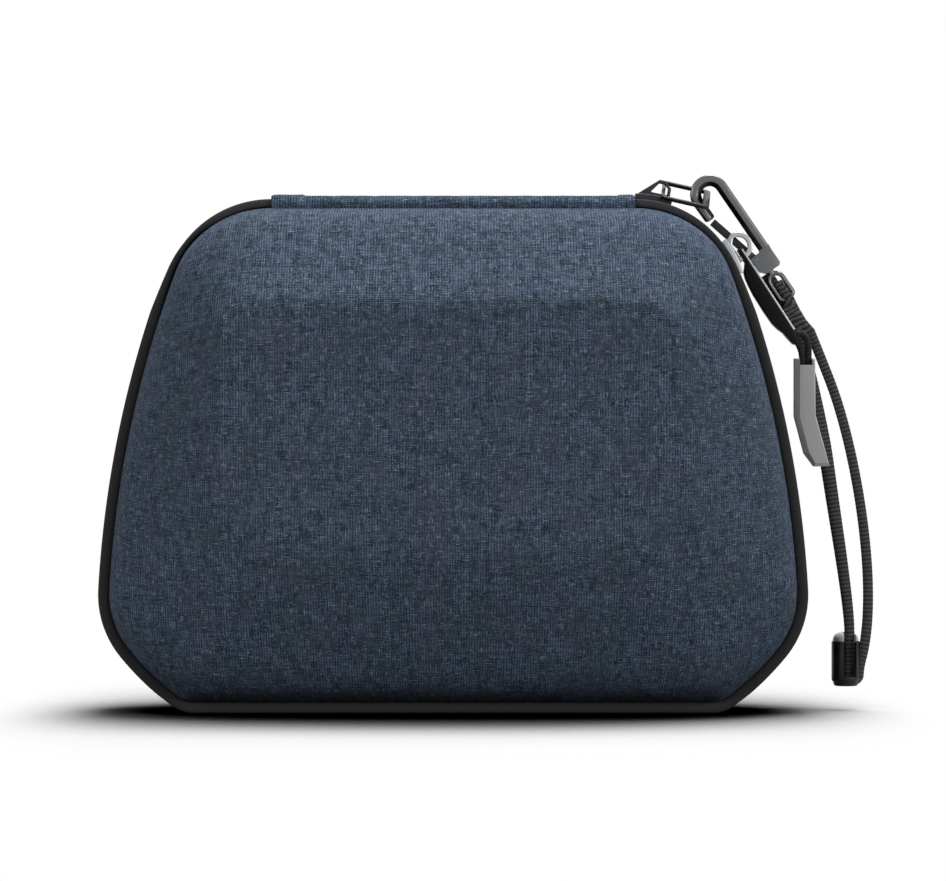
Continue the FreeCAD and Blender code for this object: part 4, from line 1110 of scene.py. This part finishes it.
def box_mesh(name, a_span, b_span, y_span, place):
    """A box across the case, in the coordinates of a place function, to cut with."""
    box = started(name, bpy.ops.mesh.primitive_cube_add, size=2)
    for vert in box.data.vertices:
        middles = [
            (low + high + share * (high - low)) / 2
            for share, (low, high) in zip(vert.co, (a_span, b_span, y_span))
        ]
        vert.co = place(*middles)
    bpy.ops.object.mode_set(mode="EDIT")
    bpy.ops.mesh.select_all(action="SELECT")
    bpy.ops.mesh.normals_make_consistent(inside=False)
    bpy.ops.object.mode_set(mode="OBJECT")
    return box


def cut_away(piece, *cutters):
    """Takes the cutters' space out of a piece and removes the cutters."""
    for cutter in cutters:
        cut = piece.modifiers.new("cut", "BOOLEAN")
        cut.operation = "DIFFERENCE"
        cut.solver = "EXACT"
        cut.object = cutter
        select_only(piece)
        bpy.ops.object.modifier_apply(modifier="cut")
        bpy.data.objects.remove(cutter)
    bpy.ops.object.shade_smooth_by_angle(angle=math.radians(32))


def strap_slots(groove_low, side_low, high):
    """Cutters for the groove in front and the slot at the side, up to one height."""
    groove_deep = [STOPPER_Y + y for y in GROOVE_DEEP]
    side_deep = (STOPPER_Y - SIDE_SLOT_HALF, STOPPER_Y + SIDE_SLOT_HALF)
    groove = box_mesh("groove", GROOVE, (groove_low, high), groove_deep, flat_point)
    side_slot = box_mesh("side_slot", SIDE_SLOT, (side_low, high), side_deep, flat_point)
    return groove, side_slot


top_profile = [(radius, STOPPER_HIGH + rise) for radius, rise in TOP_PROFILE]
barrel = turned("strap_stopper", FOOT_PROFILE + top_profile, foot_z)
well = turned("well", [(WELL_RADIUS, -WELL_DEEP), (WELL_RADIUS, 1)], barrel_top)
cut_away(barrel, well, *strap_slots(foot_z + 2.4, foot_z + 0.9, barrel_top + 1))
barrel.data.materials.append(moulded("black_plastic", (0.008, 0.008, 0.009), 0.35, 0.22))
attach(barrel, "stopper")
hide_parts("stopper_body")
dome = turned("stopper_cap", DOME_PROFILE, barrel_top)
cut_away(dome, *strap_slots(barrel_top - 3, barrel_top - 3, barrel_top + 4))
dome.data.materials.append(moulded("grey_plastic", (0.42, 0.43, 0.45), 0.40))
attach(dome, "button")
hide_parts("stopper_button")

# Tab of the lower slider: black rubber moulded round a thin silver plate, which shows as
# a bright line along its outer edge. Its upper end is forked round the slider's bow.
TAB_PIVOT = (74.0493, 0.0, 118.2512)
TAB_TILT = 57
TAB_HALF, TAB_EDGE = 2.6, 0.55
TAB_OUTLINE = [
    (-0.9, -0.7), (3.0, -0.8), (3.9, -1.5), (5.0, -2.4), (6.4, -2.9), (8.5, -3.25), (11.0, -3.5),
    (16.0, -3.6), (20.0, -3.5), (21.8, -3.1), (23.4, -2.5), (25.6, -2.2), (27.2, -1.9),
    (27.9, -1.3), (27.7, -0.6), (26.6, -0.2), (25.2, 0.0), (24.4, 0.45), (0.2, 0.45),
    (-0.8, 0.25),
]
FORK_LENGTH, FORK_DEPTH, FORK_WIDTH = (-3, 5.4), (-4.5, 1.5), (-1.1, 1.1)
CORE_OUTLINE = [(-0.4, 0.1), (24.3, 0.1), (24.3, 0.62), (-0.4, 0.62)]
CORE_HALF, CORE_EDGE = 2.7, 0.12


def plate_mesh(name, outline, half, place, radius):
    """A flat piece across the case, in mm, with its edges rounded over."""
    outline = outline[::-1]
    rings = [[place(a, b, y) for a, b in outline] for y in (-half, half)]
    piece = rings_mesh(name, rings, [outline + outline[:1]] * 2)
    round_edges(piece, radius, 4, sharper=40)
    return piece


tab_point = along_chain(TAB_PIVOT, TAB_TILT)[2]
tab = plate_mesh("pull_tab", TAB_OUTLINE, TAB_HALF, tab_point, TAB_EDGE)
cut_away(tab, box_mesh("fork", FORK_LENGTH, FORK_DEPTH, FORK_WIDTH, tab_point))
tab.data.materials.append(moulded("black_rubber", (0.006, 0.006, 0.007), 0.42, 0.08))
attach(tab, "lower_pull")
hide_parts("lower_pull_tab")
core = plate_mesh("tab_core", CORE_OUTLINE, CORE_HALF, tab_point, CORE_EDGE)
core.data.materials.append(silver_zinc)
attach(core, "lower_pull")

# Pull cord: a round black braid, looped through the end of the tab. Both its ends are
# moulded into the grip.
CORD_ROUTE = [
    (89.9, 88.2), (89.9, 91.0), (89.5, 93.2), (88.3, 95.4), (88.7, 97.2), (90.3, 96.9),
    (91.3, 95.0), (91.45, 92.0), (91.3, 88.2),
]
CORD_RADIUS, CORD_SIDES = 0.85, 12
PLAIT, PLAIT_TURN = 0.05, 3.4
upright = np.array([0, 1, 0])
rings = []
uv_rows = []
for point, across, at in zip(*stepped(route_line("cord_route", CORD_ROUTE, 0.0), 0.12 * MM)):
    ring = []
    twist = at / MM * PLAIT_TURN
    for turn in range(CORD_SIDES):
        angle = 2 * math.pi * turn / CORD_SIDES
        plait = PLAIT * math.cos(3 * angle + twist) * math.cos(3 * angle - twist)
        out = math.cos(angle) * across + math.sin(angle) * upright
        ring.append(Vector(point + (CORD_RADIUS + plait) * MM * out))
    rings.append(ring)
    uv_rows.append([(turn * 0.45, at / MM) for turn in range(CORD_SIDES + 1)])
braid = rings_mesh("braided_cord", rings, uv_rows)
braid.data.materials.append(
    woven("black_braid", (0.006, 0.006, 0.006), (0.026, 0.026, 0.026), 0.6, 0.00004, 5.0)
)
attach(braid, "grip")
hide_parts("pull_cord")

# Grip: a grey weight moulded over the ends of the cord, with wide slopes along its
# front edges and a hollow top, where the cord goes in.
GRIP_FRONT = [
    (89.1, 90.4), (92.7, 90.4), (92.8, 76.2), (96.3, 63.8), (92.9, 63.8), (91.4, 66.6),
    (89.0, 75.6),
]
GRIP_MIDDLE = [
    (87.7, 90.7), (93.0, 90.7), (93.1, 76.2), (96.7, 63.0), (92.7, 62.9), (90.2, 66.3),
    (87.7, 75.8),
]
GRIP_HALF, GRIP_SLOPE = 2.9, 0.8
HOLLOW_X, HOLLOW_Z, HOLLOW_Y = (89.0, 92.3), (89.0, 92.0), (-4.0, 1.6)
rings = []
for outline, y in (
    (GRIP_FRONT, -GRIP_HALF), (GRIP_MIDDLE, -GRIP_HALF + GRIP_SLOPE),
    (GRIP_MIDDLE, GRIP_HALF - GRIP_SLOPE), (GRIP_FRONT, GRIP_HALF),
):
    rings.append([flat_point(x, z, y) for x, z in outline])
uv_rows = [[(float(k), float(row)) for k in range(len(GRIP_FRONT) + 1)] for row in range(4)]
weight = rings_mesh("grip_weight", rings, uv_rows)
cut_away(weight, box_mesh("hollow", HOLLOW_X, HOLLOW_Z, HOLLOW_Y, flat_point))
round_edges(weight, 0.16, 2, sharper=14, smooth=12)
weight.data.materials.append(moulded("grip_grey", (0.400, 0.402, 0.405), 0.55, 0.25))
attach(weight, "grip")
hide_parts("pull_grip")
